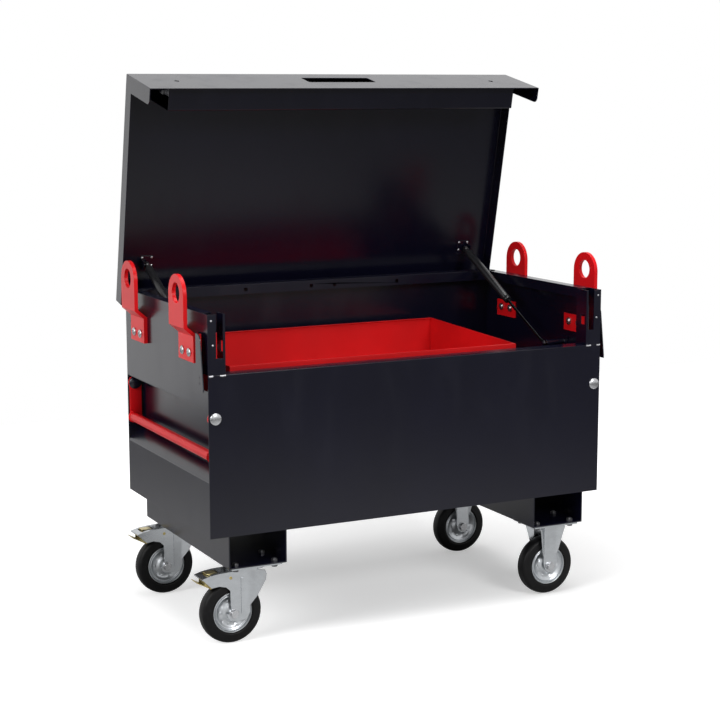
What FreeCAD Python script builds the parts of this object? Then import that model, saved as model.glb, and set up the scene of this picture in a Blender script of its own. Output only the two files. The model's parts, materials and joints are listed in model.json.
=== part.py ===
"""Steel jobsite box on castors: folded sheet body, hinged lid on gas struts, tool tray, lifting lugs.

Origin at the centre of the body's underside, +X to the box's right, +Y to its rear, +Z up.
All lengths are in millimetres. The lid is shaped closed and then turned open about its hinge.
"""
import FreeCAD
import Part
import math
import os

V = FreeCAD.Vector

# Body shell
body_width = 1130.0
body_depth = 590.0
body_height = 550.0
front_height = 402.0
sheet = 2.5
lip_depth = 47.0
lip_drop = 27.0
end_lip_width = 30.0
seam_height = 320.0
joint_gap = 0.3

# Front posts
post_width = 46.0
post_return = 48.0
post_slot_inner = 525.0
post_slot_outer = 543.0
post_slot_bottom = 443.0
bolt_slot_play_y = 3.0
bolt_slot_play_z = 2.5

# Handle recess in the lower end wall
recess_depth = 42.0
recess_slope_top = 177.0
recess_slope_bottom = 142.0

# Guard flap pressed out of the upper end plate
flap_offset = 13.4
flap_top = 502.0
flap_bottom = 364.0
flap_length = 67.0
flap_bend_length = 22.0
flap_slant = 19.0
flap_straight = 8.0
flap_corner_radius = 20.0
flap_hole_radius = 2.5
flap_hole_inset = 20.0
flap_hole_heights = (383.0, 397.0)

# Rear rail
rail_depth = 47.0
rail_hole = 10.0
rail_hole_height = 535.0
rail_hole_places = (-235.0, -36.0, 36.0, 235.0)

# Lifting lugs
lug_width = 101.0
lug_thickness = 10.0
lug_end_margin = 68.0
lug_offset = 24.3
lug_bottom = 425.0
lug_joggle_bottom = 493.0
lug_joggle_top = 514.0
lug_joggle_shift = 3.0
lug_eye_height = 592.7
lug_eye_radius = 25.0
lug_arc_height = 588.0
lug_bolt_height = 448.0
lug_bolt_spacing = 46.0
lug_bolt_radius = 6.0
lug_head_radius = 11.0
lug_head_height = 6.0
lug_nut_height = 7.0
backing_height = 47.0
backing_width = 100.0
backing_sheet = 3.0
backing_shift = 3.0

# Lid
lid_side_gap = 7.5
lid_sheet = 2.5
lid_rise = 4.8
lid_front_gap = 7.7
lid_rear_gap = 16.2
lid_flange_depth = 41.5
apron_height = 180.0
apron_flange = 43.0
apron_flange_radius = 14.0
lid_open_angle = 78.1
hinge_back_gap = 10.0
hand_slot_half = 100.0
hand_slot_from = 48.0
hand_slot_to = 105.0
hand_slot_radius = 6.0
keyhole_place = 470.0
keyhole_drop = 90.0
keyhole_radius = 6.5
keyhole_slit = 4.0
keyhole_slit_length = 12.0

# Piano hinge
knuckle_radius = 6.2
pin_radius = 2.5
pin_clearance = 0.05
hinge_length = 1100.0
knuckle_count = 22
knuckle_play = 0.4
hinge_leaf = 2.0
leaf_reach = 26.0

# Locks inside the lid
cover_post_gap = 7.0
cover_reach = 150.0
cover_depth = 65.0
cover_sheet = 1.5
cover_return = 12.0
case_length = 62.0
case_inset = 14.0
case_height = 60.0
case_wall = 2.0
bolt_drop = 84.5
bolt_inset = 28.0
bolt_thick = 12.0
bolt_tall = 22.0
bolt_length = 70.0
bolt_recess = 2.0
bolt_travel = 24.0
bolt_chamfer = 1.5
bolt_play = 0.3

# Gas struts
strut_side_inset = 67.0
strut_lid_back = 93.6
strut_lid_drop = 16.7
strut_body_back = 429.0
strut_body_drop = 127.3
strut_rod_inside = 60.0
strut_guide = 12.0
strut_cap = 6.0
strut_tube_length = 256.0
strut_tube_radius = 11.0
strut_tube_wall = 1.5
strut_rod_radius = 4.0
strut_gland_clearance = 0.05
strut_eye_radius = 9.0
strut_eye_half = 4.5
strut_neck = 18.0
strut_neck_radius = 6.0
stud_radius = 4.0
stud_clearance = 0.05
bracket_sheet = 3.0
bracket_width = 44.0
bracket_height = 35.0
spacer_radius = 8.8
clip_radius = 6.4
clip_height = 2.0
lid_web_width = 26.0
lid_web_gap = 6.0
lid_bracket_reach = 32.0
lid_bracket_drop = 10.0

# Lift handles
handle_pivot_inset = 18.0
handle_pivot_height = 296.0
handle_arm_width = 36.0
handle_arm_sheet = 6.0
handle_arm_step = 3.0
handle_arm_bottom = 186.0
handle_bar_radius = 12.5
handle_bar_out = 553.0
handle_bar_height = 202.0
handle_washer = 1.5
pivot_radius = 6.0
pivot_head_radius = 15.0
pivot_head_height = 6.0
pivot_nut_height = 6.0
pivot_cap_radius = 17.5
pivot_cap_height = 10.0
running_fit = 0.05

# Tool tray and runners
tray_side_gap = 5.0
tray_length = 822.0
tray_front_inset = 65.0
tray_back_inset = 60.0
tray_bottom = 320.0
tray_front_top = 410.0
tray_back_top = 424.0
tray_sheet = 1.5
tray_hem = 8.0
runner_sheet = 2.5
runner_overhang = 2.0
front_runner_reach = 26.0
rear_runner_reach = 77.0
runner_leg = 60.0

# Skids
skid_inset = 47.6
skid_width = 155.4
skid_height = 83.0
skid_sheet = 3.0

# Castors
wheel_radius = 80.0
wheel_width = 40.0
rim_radius = 50.0
rim_flange_radius = 51.6
rim_sheet = 3.0
rim_lip = 5.0
web_hub_half = 8.0
web_rim_half = 4.0
tyre_shoulder = 9.0
hub_radius = 16.0
hub_width = 44.0
axle_radius = 6.0
axle_drop = 206.0
castor_inset = 59.0
plate_length = 135.0
plate_width = 110.0
plate_sheet = 5.0
plate_bolt_x = 105.0
plate_bolt_y = 80.0
castor_bolt_radius = 5.0
castor_head_radius = 9.0
castor_head_height = 6.4
castor_nut_height = 6.0
castor_bolt_proud = 2.0
hole_clearance = 0.5
leg_sheet = 3.5
leg_half_gap = 24.0
rigid_axle_shift = -1.7
swivel_shift = 0.3
swivel_trail = 52.0
race_radius = 36.0
race_height = 4.3
crown_sheet = 4.0
fork_web_front = 10.0
fork_web_low_front = 8.5
fork_web_back = 59.0
fork_foot_radius = 19.0
fork_foot_front = 20.0
fork_crown_front = 28.0
fork_crown_back = 42.0
fork_hood_sheet = 3.0
fork_rib_back = 33.0
fork_rib_front = 25.5
fork_rib_height = 1.5
fork_rib_top = 116.0
fork_rib_bottom = 208.0
rigid_web_half = 20.0
rigid_foot_radius = 17.0
rigid_foot_shoulder = 8.0
flange_flare = 40.0
crown_radius = 40.0
kingpin_radius = 6.0
kingpin_head = 11.0
kingpin_head_height = 4.0
axle_head_radius = 12.0
axle_head_height = 8.0

# Outlines pressed into the castor legs: reach from a fold or from the kingpin, and depth
fork_flange = ((0.0, 96.5), (42.0, 96.5), (46.0, 106.0), (44.0, 122.0), (21.0, 166.0),
               (6.0, 186.0), (0.0, 194.0))
fork_hood_top = ((54.0, 98.0), (90.0, 99.5), (114.0, 102.5), (136.0, 108.5))
fork_hood_low = ((111.0, 134.0), (91.0, 131.7), (73.0, 136.0), (62.0, 146.0))
rigid_flange = ((0.0, 88.0), (18.0, 88.0), (25.0, 96.0), (18.0, 120.0), (8.0, 160.0), (0.0, 178.0))

# Brake pedal
pedal_pivot_x = 60.0
pedal_pivot_drop = 113.6
pedal_pivot_radius = 4.0
pedal_half_width = 20.0
pedal_sheet = 2.5
pedal_roof = ((46.0, 104.5), (126.0, 114.5))
pedal_cheek_low = ((127.0, 127.0), (108.0, 137.0), (64.0, 121.5), (46.0, 119.5))
pedal_blade = ((147.0, 116.0), (108.0, 137.0))
pedal_blade_half = 18.0
pedal_pad_back = 118.0
pedal_pad_front = 90.0
pedal_pad_top = 100.0
pedal_pad_half = 13.0
pedal_window_gap = 3.5

# Rubber stops that the closed lid lands on
buffer_radius = 7.0
buffer_height = 2.0
buffer_inset = 55.0

# Places that follow from the sizes above
half_width = body_width / 2.0
half_depth = body_depth / 2.0
post_inner = half_width - post_width
recess_wall = half_width - recess_depth
inner_x = half_width - sheet
inner_y = half_depth - sheet
half_lid = half_width + lid_side_gap + lid_sheet
lid_top = body_height + lid_rise
lid_front = -half_depth - lid_front_gap - lid_sheet
lid_rear = half_depth + lid_rear_gap + lid_sheet
hinge_y = half_depth + hinge_back_gap
hinge_z = lid_top - lid_flange_depth
flap_bend_rear = -half_depth + flap_length
flap_bend_front = flap_bend_rear - flap_bend_length
flap_front_bottom = -half_depth
flap_front_top = -half_depth + flap_slant
lug_centre_y = half_depth - lug_end_margin - lug_width / 2.0
cover_half = post_inner - cover_post_gap
bolt_y = lid_front + bolt_inset
bolt_z = lid_top - bolt_drop
bolt_end = cover_half - bolt_recess
strut_plane = half_width - strut_side_inset
strut_lid_y = hinge_y - strut_lid_back
strut_lid_z = lid_top - strut_lid_drop
strut_body_y = hinge_y - strut_body_back
strut_body_z = hinge_z - strut_body_drop
tray_left = -strut_plane + strut_tube_radius + tray_side_gap
tray_right = tray_left + tray_length
tray_front = -half_depth + tray_front_inset
tray_back = half_depth - tray_back_inset
runner_half = -tray_left + runner_overhang
skid_centre = half_width - skid_inset - skid_width / 2.0
castor_y = half_depth - castor_inset
rigid_axle_x = skid_centre + rigid_axle_shift
swivel_x = skid_centre + swivel_shift
buffer_y = half_depth - buffer_inset


def box(x0, x1, y0, y1, z0, z1):
    """Box between two corners given in any order."""
    low = V(min(x0, x1), min(y0, y1), min(z0, z1))
    high = V(max(x0, x1), max(y0, y1), max(z0, z1))
    size = high - low
    return Part.makeBox(size.x, size.y, size.z, low)


def rod(centre, direction, radius, length):
    """Cylinder that starts at centre and runs along direction."""
    return Part.makeCylinder(radius, length, V(*centre), V(*direction))


def tube(centre, direction, outer, inner, length):
    """Cylinder with a bore."""
    return rod(centre, direction, outer, length).cut(rod(centre, direction, inner, length))


def dome(centre, direction, radius, height):
    """Low spherical cap with its flat side at centre."""
    ball_radius = (radius * radius + height * height) / (2.0 * height)
    axis = V(*direction)
    axis.normalize()
    start = V(*centre)
    ball = Part.makeSphere(ball_radius, start - axis * (ball_radius - height))
    return ball.common(Part.makeCylinder(radius * 1.01, height * 1.5, start, axis))


def hexagon(centre, direction, radius, height):
    """Hexagonal prism whose corners lie at radius."""
    axis = V(*direction)
    axis.normalize()
    side = axis.cross(V(0, 0, 1)) if abs(axis.z) < 0.5 else V(1, 0, 0)
    side.normalize()
    other = axis.cross(side)
    start = V(*centre)
    points = []
    for corner in range(7):
        turn = math.radians(60.0 * corner)
        points.append(start + side * (radius * math.cos(turn)) + other * (radius * math.sin(turn)))
    return Part.Face(Part.makePolygon(points)).extrude(axis * height)


def plate_yz(points, x0, x1):
    """Flat plate with an outline in Y and Z, between two X values."""
    corners = [V(x0, y, z) for y, z in points]
    return Part.Face(Part.makePolygon(corners + corners[:1])).extrude(V(x1 - x0, 0, 0))


def plate_xz(points, y0, y1):
    """Flat plate with an outline in X and Z, between two Y values."""
    corners = [V(x, y0, z) for x, z in points]
    return Part.Face(Part.makePolygon(corners + corners[:1])).extrude(V(0, y1 - y0, 0))


def plate_xy(points, z0, z1):
    """Flat plate with an outline in X and Y, between two Z values."""
    corners = [V(x, y, z0) for x, y in points]
    return Part.Face(Part.makePolygon(corners + corners[:1])).extrude(V(0, 0, z1 - z0))


def join(shapes):
    """One solid from touching shapes."""
    whole = shapes[0]
    for shape in shapes[1:]:
        whole = whole.fuse(shape)
    return whole.removeSplitter()


def round_edges(shape, radius, chosen):
    """Fillet the edges for which chosen(edge) is true."""
    edges = [edge for edge in shape.Edges if chosen(edge)]
    return shape.makeFillet(radius, edges)


def turned_about_hinge(shape, angle=lid_open_angle):
    """The shape swung open with the lid."""
    opened = shape.copy()
    opened.rotate(V(0, hinge_y, hinge_z), V(1, 0, 0), -angle)
    return opened


def save(name, shapes):
    """Write one sub-part, which may be several separate solids."""
    solids = []
    for shape in shapes if isinstance(shapes, (list, tuple)) else [shapes]:
        solids.extend(shape.Solids)
    for solid in solids:
        assert solid.isValid(), name
    whole = solids[0] if len(solids) == 1 else Part.makeCompound(solids)
    whole.exportStep("parts/" + name + ".step")
    print(name, len(solids), round(whole.Volume / 1000.0, 2))


def side_name(side):
    return "left" if side < 0 else "right"


def end_name(end):
    return "front" if end < 0 else "rear"


def make_floor_panel():
    return box(-inner_x, inner_x, -inner_y, inner_y, 0, sheet)


def make_front_panel():
    """Front sheet with its folded top: a shelf and a short drop behind it."""
    top = front_height
    skin = box(-half_width, half_width, -half_depth, -inner_y, 0, top)
    shelf = box(-post_inner, post_inner, -inner_y, -half_depth + lip_depth, top - sheet, top)
    drop_y = -half_depth + lip_depth
    drop = box(-post_inner, post_inner, drop_y - sheet, drop_y, top - lip_drop, top)
    return join([skin, shelf, drop])


def handle_pivot_x():
    return half_width - handle_pivot_inset


def pivot_holes(shape, y0, y1):
    """Holes for both handle pivots through a panel between two Y values."""
    for side in (-1, 1):
        start = (side * handle_pivot_x(), y0, handle_pivot_height)
        shape = shape.cut(rod(start, (0, 1, 0), pivot_radius + hole_clearance, y1 - y0))
    return shape


def make_rear_panel():
    return box(-half_width, half_width, inner_y, half_depth, 0, body_height)


def make_rear_rail():
    """Top channel of the back: a shelf with a front lip that has square holes."""
    front = half_depth - rail_depth
    reach = half_width - end_lip_width
    shelf = box(-reach, reach, front, inner_y, body_height - sheet, body_height)
    lip = box(-reach, reach, front, front + sheet, body_height - lip_drop, body_height)
    rail = join([shelf, lip])
    half_hole = rail_hole / 2.0
    for place in rail_hole_places:
        hole = box(place - half_hole, place + half_hole, front - sheet, front + 2 * sheet,
                   rail_hole_height - half_hole, rail_hole_height + half_hole)
        rail = rail.cut(hole)
    return rail


def make_end_wall(side):
    """Lower end wall, dished in for the lift handle, with a roof under the upper plate."""
    roof = seam_height
    rise = recess_slope_top - recess_slope_bottom
    tilt = math.atan2(recess_depth, rise)
    shift = sheet * math.tan(tilt / 2.0)
    outer = [(half_width, 0), (half_width, recess_slope_bottom), (recess_wall, recess_slope_top),
             (recess_wall, roof - sheet), (half_width, roof - sheet), (half_width, roof)]
    inner = [(recess_wall - sheet, roof), (recess_wall - sheet, recess_slope_top - shift),
             (half_width - sheet, recess_slope_bottom - shift), (half_width - sheet, 0)]
    outline = [(side * x, z) for x, z in outer + inner]
    return plate_xz(outline, -inner_y, inner_y)


def flap_outline():
    """Outline of the pressed flap in Y and Z, front edge slanting."""
    return [(flap_bend_rear, flap_bottom), (flap_front_bottom, flap_bottom),
            (flap_front_bottom, flap_bottom + flap_straight), (flap_front_top, flap_top),
            (flap_bend_rear, flap_top)]


def make_upper_end_plate(side):
    """Upper end sheet with folded top and a flap pressed outwards at the front."""
    low = seam_height
    skin = box(side * inner_x, side * half_width, -half_depth + sheet, inner_y, low, body_height)
    window = box(side * (inner_x - 1), side * (half_width + 1), -half_depth, flap_bend_rear,
                 flap_bottom, flap_top)
    skin = skin.cut(window)
    lip_inner = half_width - end_lip_width
    post_back = -half_depth + post_return
    rail_front = inner_y
    top = box(side * lip_inner, side * inner_x, post_back, rail_front,
              body_height - sheet, body_height)
    drop = box(side * lip_inner, side * (lip_inner + sheet), post_back,
               half_depth - rail_depth, body_height - lip_drop, body_height)
    out = half_width + flap_offset
    bend = [(half_width, flap_bend_rear), (out, flap_bend_front), (out, flap_front_bottom),
            (out - sheet, flap_front_bottom), (out - sheet, flap_bend_front),
            (inner_x, flap_bend_rear)]
    pressed = plate_xy([(side * x, y) for x, y in bend], flap_bottom, flap_top)
    outline = flap_outline()
    cutter = plate_yz(outline, side * (inner_x - 1), side * (out + 1))
    cutter = round_edges(cutter, flap_corner_radius, lambda edge: edge.BoundBox.XLength > 1
                         and abs(edge.BoundBox.Center.y - flap_front_top) < 1
                         and abs(edge.BoundBox.Center.z - flap_top) < 1)
    pressed = pressed.common(cutter)
    for height in flap_hole_heights:
        start = (side * (inner_x - 1), flap_front_bottom + flap_hole_inset, height)
        pressed = pressed.cut(rod(start, (side, 0, 0), flap_hole_radius, flap_offset + sheet + 2))
    hinge_strip = box(side * inner_x, side * half_width, flap_bend_rear - joint_gap,
                      flap_bend_rear + joint_gap, flap_bottom, flap_top)
    return join([skin, top, drop, pressed, hinge_strip])


def make_front_post(side):
    """Front post: face with an open slot, a return with the deadbolt slot, an outer leg."""
    low = front_height
    high = body_height
    back = -half_depth + post_return
    face = box(side * post_inner, side * half_width, -half_depth, -inner_y, low, high)
    slot = box(side * post_slot_inner, side * post_slot_outer, -half_depth - 1, -inner_y + 1,
               post_slot_bottom, high + 1)
    face = face.cut(slot)
    inner = box(side * post_inner, side * (post_inner + sheet), -half_depth, back, low, high)
    leg_out = inner_x - joint_gap
    outer = box(side * leg_out, side * (leg_out - sheet), -half_depth, back, low, high)
    cap = box(side * (post_inner + sheet), side * (leg_out - sheet), -inner_y, back, low, low + sheet)
    post = join([face, inner, outer, cap])
    half_y = bolt_thick / 2.0 + bolt_slot_play_y
    half_z = bolt_tall / 2.0 + bolt_slot_play_z
    keep = box(side * (post_inner - 1), side * (post_inner + sheet + 1), bolt_y - half_y,
               bolt_y + half_y, bolt_z - half_z, bolt_z + half_z)
    return post.cut(keep)


def make_skid(side):
    """Open channel under the body that a fork or pallet truck can enter."""
    x0 = side * skid_centre - skid_width / 2.0
    x1 = side * skid_centre + skid_width / 2.0
    outer = box(x0, x1, -half_depth, half_depth, -skid_height, 0)
    hollow = box(x0 + skid_sheet, x1 - skid_sheet, -half_depth - 1, half_depth + 1,
                 -skid_height + skid_sheet, 1)
    skid = outer.cut(hollow)
    for end in (-1, 1):
        for x, y in castor_bolt_places(side, end):
            skid = skid.cut(rod((x, y, -skid_height - 1), (0, 0, 1),
                                castor_bolt_radius + hole_clearance, skid_sheet + 2))
    return skid


def castor_centre(side):
    """X of a castor's top plate."""
    return -swivel_x if side < 0 else rigid_axle_x


def castor_bolt_places(side, end):
    """The four bolt places of one castor plate."""
    centre = castor_centre(side)
    places = []
    for sx in (-0.5, 0.5):
        for sy in (-0.5, 0.5):
            places.append((centre + sx * plate_bolt_x, end * castor_y + sy * plate_bolt_y))
    return places


def lug_places():
    return [(side, end) for side in (-1, 1) for end in (-1, 1)]


def lug_bolt_places(end):
    return [end * lug_centre_y + step * lug_bolt_spacing / 2.0 for step in (-1, 1)]


def make_lug(side, end):
    """Joggled lug: flat foot on the end plate, raised eye beside the lid."""
    centre = end * lug_centre_y
    foot = half_width
    out = half_width + lug_offset
    above = lug_arc_height + lug_width
    profile = [(foot, lug_bottom), (foot + lug_thickness, lug_bottom),
               (foot + lug_thickness, lug_joggle_bottom - lug_joggle_shift),
               (out + lug_thickness, lug_joggle_top - lug_joggle_shift),
               (out + lug_thickness, above), (out, above),
               (out, lug_joggle_top), (foot, lug_joggle_bottom)]
    half = lug_width / 2.0
    strip = plate_xz([(side * x, z) for x, z in profile], centre - half, centre + half)
    start = (side * (foot - 1), centre, lug_arc_height)
    reach = lug_offset + lug_thickness + 2
    top_arc = rod(start, (side, 0, 0), half, reach)
    below = box(side * (foot - 1), side * (out + lug_thickness + 1), centre - half, centre + half,
                lug_bottom - 1, lug_arc_height)
    eye = rod((side * (foot - 1), centre, lug_eye_height), (side, 0, 0), lug_eye_radius, reach)
    lug = strip.common(top_arc.fuse(below)).cut(eye)
    for y in lug_bolt_places(end):
        lug = lug.cut(rod((side * (foot - 1), y, lug_bolt_height), (side, 0, 0),
                          lug_bolt_radius + hole_clearance, lug_thickness + 2))
    return lug.removeSplitter()


def drill_lug_holes(plate, side, x_from, length):
    for end in (-1, 1):
        for y in lug_bolt_places(end):
            plate = plate.cut(rod((side * x_from, y, lug_bolt_height), (side, 0, 0),
                                  lug_bolt_radius + hole_clearance, length))
    return plate


def make_backing_plates():
    """Plates inside the end wall that spread the load of each lug."""
    plates = []
    for side, end in lug_places():
        centre = end * lug_centre_y
        half = backing_width / 2.0
        middle = lug_bolt_height - backing_shift
        plate = box(side * inner_x, side * (inner_x - backing_sheet), centre - half, centre + half,
                    middle - backing_height / 2.0, middle + backing_height / 2.0)
        plates.append(drill_lug_holes(plate, side, inner_x - backing_sheet - 1, backing_sheet + 2))
    return plates


def make_lug_bolts():
    """Dome head bolts through lug, end plate and backing plate."""
    bolts = []
    for side, end in lug_places():
        for y in lug_bolt_places(end):
            outer = half_width + lug_thickness
            head = dome((side * outer, y, lug_bolt_height), (side, 0, 0), lug_head_radius,
                        lug_head_height)
            inner_end = inner_x - backing_sheet - lug_nut_height
            shank = rod((side * inner_end, y, lug_bolt_height), (side, 0, 0), lug_bolt_radius,
                        outer - inner_end)
            bolts.append(join([shank, head]))
    return bolts


def make_lug_nuts():
    nuts = []
    for side, end in lug_places():
        for y in lug_bolt_places(end):
            seat = inner_x - backing_sheet
            nut = hexagon((side * seat, y, lug_bolt_height), (-side, 0, 0), lug_head_radius,
                          lug_nut_height)
            bore = rod((side * seat, y, lug_bolt_height), (-side, 0, 0), lug_bolt_radius, lug_nut_height)
            nuts.append(nut.cut(bore))
    return nuts


def make_handle(side):
    """Drop handle: two flat arms and a round bar."""
    pivot_x = handle_pivot_x()
    half = handle_arm_width / 2.0
    outer_y = inner_y - handle_washer
    inner_arm = outer_y - handle_arm_sheet
    arms = []
    for end in (-1, 1):
        y0 = end * inner_arm
        y1 = end * outer_y
        arm = box(side * (pivot_x - half), side * (pivot_x + half - handle_arm_step), y0, y1,
                  handle_arm_bottom, handle_pivot_height)
        start = (side * pivot_x, min(y0, y1), handle_pivot_height)
        arm = arm.fuse(rod(start, (0, 1, 0), half, handle_arm_sheet))
        arm = arm.cut(rod((side * pivot_x, min(y0, y1) - 1, handle_pivot_height), (0, 1, 0),
                          pivot_radius + running_fit, handle_arm_sheet + 2))
        arms.append(arm)
    bar = rod((side * handle_bar_out, -inner_arm, handle_bar_height), (0, 1, 0),
              handle_bar_radius, 2 * inner_arm)
    return join(arms + [bar])


def pivot_cap_seat():
    """Distance from the middle of the box to the face of a handle arm that its cap covers."""
    return inner_y - handle_washer - handle_arm_sheet - joint_gap


def make_handle_pivots():
    """Pivot bolts with a domed head outside, and a washer inside the recess."""
    pieces = []
    for side, end in lug_places():
        x = side * handle_pivot_x()
        z = handle_pivot_height
        shank_end = pivot_cap_seat() - pivot_nut_height
        shank = rod((x, end * shank_end, z), (0, end, 0), pivot_radius, half_depth - shank_end)
        head = dome((x, end * half_depth, z), (0, end, 0), pivot_head_radius, pivot_head_height)
        pieces.append(join([shank, head]))
        washer_length = handle_washer - joint_gap
        washer = tube((x, end * inner_y, z), (0, -end, 0), pivot_head_radius, pivot_radius,
                      washer_length)
        pieces.append(washer)
    return pieces


def make_handle_pivot_caps():
    """Dark domed nuts that cover the round heads of the handle arms."""
    caps = []
    for side, end in lug_places():
        place = (side * handle_pivot_x(), end * pivot_cap_seat(), handle_pivot_height)
        cap = dome(place, (0, -end, 0), pivot_cap_radius, pivot_cap_height)
        caps.append(cap.cut(rod(place, (0, -end, 0), pivot_radius, pivot_nut_height)))
    return caps


def make_runners():
    """Two angles that carry the tray, one behind the front rail and one on the back panel."""
    top = tray_bottom - joint_gap
    wall = -half_depth + lip_depth
    front_leg = box(-runner_half, runner_half, wall, wall + runner_sheet, top - runner_sheet,
                    front_height - sheet)
    front_shelf = box(-runner_half, runner_half, wall, wall + front_runner_reach,
                      top - runner_sheet, top)
    rear_leg = box(-runner_half, runner_half, inner_y - runner_sheet, inner_y,
                   top - runner_leg, top)
    rear_shelf = box(-runner_half, runner_half, inner_y - rear_runner_reach, inner_y,
                     top - runner_sheet, top)
    return [join([front_leg, front_shelf]), join([rear_leg, rear_shelf])]


def make_tray():
    """Open sheet tray with hemmed rims; its back wall stands a little higher."""
    t = tray_sheet
    bottom = box(tray_left, tray_right, tray_front, tray_back, tray_bottom, tray_bottom + t)
    front = box(tray_left, tray_right, tray_front, tray_front + t, tray_bottom, tray_front_top)
    back = box(tray_left, tray_right, tray_back - t, tray_back, tray_bottom, tray_back_top)
    front_hem = box(tray_left, tray_right, tray_front, tray_front + tray_hem,
                    tray_front_top - t, tray_front_top)
    back_hem = box(tray_left, tray_right, tray_back - tray_hem, tray_back,
                   tray_back_top - t, tray_back_top)
    ends = []
    for x0, x1 in ((tray_left, tray_left + t), (tray_right - t, tray_right)):
        outline = [(tray_front, tray_bottom), (tray_back, tray_bottom), (tray_back, tray_back_top),
                   (tray_front, tray_front_top)]
        ends.append(plate_yz(outline, x0, x1))
    return join([bottom, front, back, front_hem, back_hem] + ends)


def make_lid_shell():
    """Lid sheet, closed: panel, side and rear flanges, long front apron with end flanges."""
    t = lid_sheet
    bottom = lid_top - lid_flange_depth
    apron_low = lid_top - apron_height
    panel = box(-half_lid, half_lid, lid_front, lid_rear, lid_top - t, lid_top)
    apron = box(-half_lid, half_lid, lid_front, lid_front + t, apron_low, lid_top)
    rear = box(-half_lid, half_lid, lid_rear - t, lid_rear, bottom, lid_top)
    pieces = [panel, apron, rear]
    for side in (-1, 1):
        skirt = box(side * half_lid, side * (half_lid - t), lid_front, lid_rear, bottom, lid_top)
        flange_back = lid_front + apron_flange
        flange = box(side * half_lid, side * (half_lid - t), lid_front, flange_back,
                     apron_low, lid_top)
        flange = round_edges(flange, apron_flange_radius, lambda edge: edge.BoundBox.XLength > 1
                             and abs(edge.BoundBox.Center.y - flange_back) < 1
                             and abs(edge.BoundBox.Center.z - apron_low) < 1)
        pieces.extend([skirt, flange])
    lid = join(pieces)
    slot = box(-hand_slot_half, hand_slot_half, lid_front - 1, lid_front + t + 1,
               lid_top - hand_slot_to, lid_top - hand_slot_from)
    slot = round_edges(slot, hand_slot_radius, lambda edge: edge.BoundBox.YLength > 1)
    lid = lid.cut(slot)
    for side in (-1, 1):
        place = side * keyhole_place
        height = lid_top - keyhole_drop
        lid = lid.cut(rod((place, lid_front - 1, height), (0, 1, 0), keyhole_radius, t + 2))
        half_slit = keyhole_slit / 2.0
        lid = lid.cut(box(place - half_slit, place + half_slit, lid_front - 1, lid_front + t + 1,
                          height - keyhole_slit_length, height))
    return lid


def knuckles(first):
    """Every second knuckle of the hinge, starting with the first or the second."""
    pitch = hinge_length / knuckle_count
    rings = []
    for index in range(first, knuckle_count, 2):
        start = -hinge_length / 2.0 + index * pitch + knuckle_play / 2.0
        rings.append((start, pitch - knuckle_play))
    return rings


def make_hinge_leaf_body():
    """Leaf on the back panel, with a neck out to each of its knuckles."""
    half = hinge_length / 2.0
    top = hinge_z - knuckle_radius
    leaf = box(-half, half, half_depth, half_depth + hinge_leaf, top - leaf_reach, top)
    pieces = [leaf]
    for start, length in knuckles(0):
        ring = rod((start, hinge_y, hinge_z), (1, 0, 0), knuckle_radius, length)
        neck = box(start, start + length, half_depth, hinge_y, top - hinge_leaf, top + hinge_leaf)
        pieces.extend([neck, ring])
    whole = join(pieces)
    return whole.cut(rod((-half, hinge_y, hinge_z), (1, 0, 0), pin_radius, hinge_length))


def make_hinge_leaf_lid():
    """Leaf on the lid's rear flange, tangent to its knuckles, with the lid closed."""
    half = hinge_length / 2.0
    back = lid_rear - lid_sheet
    leaf = box(-half, half, back - hinge_leaf, back, hinge_z + joint_gap, hinge_z + leaf_reach)
    gaps = []
    for start, length in knuckles(0):
        gaps.append(box(start - knuckle_play, start + length + knuckle_play, back - hinge_leaf - 1,
                        back + 1, hinge_z - 1, hinge_z + knuckle_radius + 1.0))
    for gap in gaps:
        leaf = leaf.cut(gap)
    pieces = [leaf]
    for start, length in knuckles(1):
        pieces.append(rod((start, hinge_y, hinge_z), (1, 0, 0), knuckle_radius, length))
    whole = join(pieces)
    bore = pin_radius + pin_clearance
    return whole.cut(rod((-half, hinge_y, hinge_z), (1, 0, 0), bore, hinge_length))


def make_hinge_pin():
    return rod((-hinge_length / 2.0, hinge_y, hinge_z), (1, 0, 0), pin_radius, hinge_length)


def make_lock_cover():
    """Folded cover along the apron that hides the locks, open at its two ends."""
    t = cover_sheet
    front = lid_front + lid_sheet
    back = lid_front + cover_depth
    top = lid_top - lid_sheet
    low = lid_top - cover_reach
    wall = box(-cover_half, cover_half, back - t, back, low, top)
    bottom = box(-cover_half, cover_half, front, back, low, low + t)
    foot = box(-cover_half, cover_half, back, back + cover_return, top - t, top)
    lip = box(-cover_half, cover_half, front, front + t, low - cover_return, low + t)
    cover = join([wall, bottom, foot, lip])
    slot = box(-hand_slot_half - cover_return, hand_slot_half + cover_return, front - 1, back - 2 * t,
               low - cover_return - 1, low - cover_return / 2.0)
    return cover.cut(slot)


def make_lock_cases():
    """Two lock bodies on the apron's inner face, each a box with a passage for its bolt."""
    cases = []
    front = lid_front + lid_sheet
    for side in (-1, 1):
        outer_end = cover_half - case_inset
        solid = box(side * (outer_end - case_length), side * outer_end,
                    front, bolt_y + bolt_thick / 2.0 + bolt_play + case_wall,
                    bolt_z - case_height / 2.0, bolt_z + case_height / 2.0)
        passage = box(side * (outer_end - bolt_length - bolt_travel), side * (outer_end + 1),
                      bolt_y - bolt_thick / 2.0 - bolt_play, bolt_y + bolt_thick / 2.0 + bolt_play,
                      bolt_z - bolt_tall / 2.0 - bolt_play, bolt_z + bolt_tall / 2.0 + bolt_play)
        keyway = rod((side * keyhole_place, front - 1, lid_top - keyhole_drop), (0, 1, 0),
                     keyhole_radius, bolt_y - bolt_thick / 2.0 - front)
        cases.append(solid.cut(passage).cut(keyway))
    return cases


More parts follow.
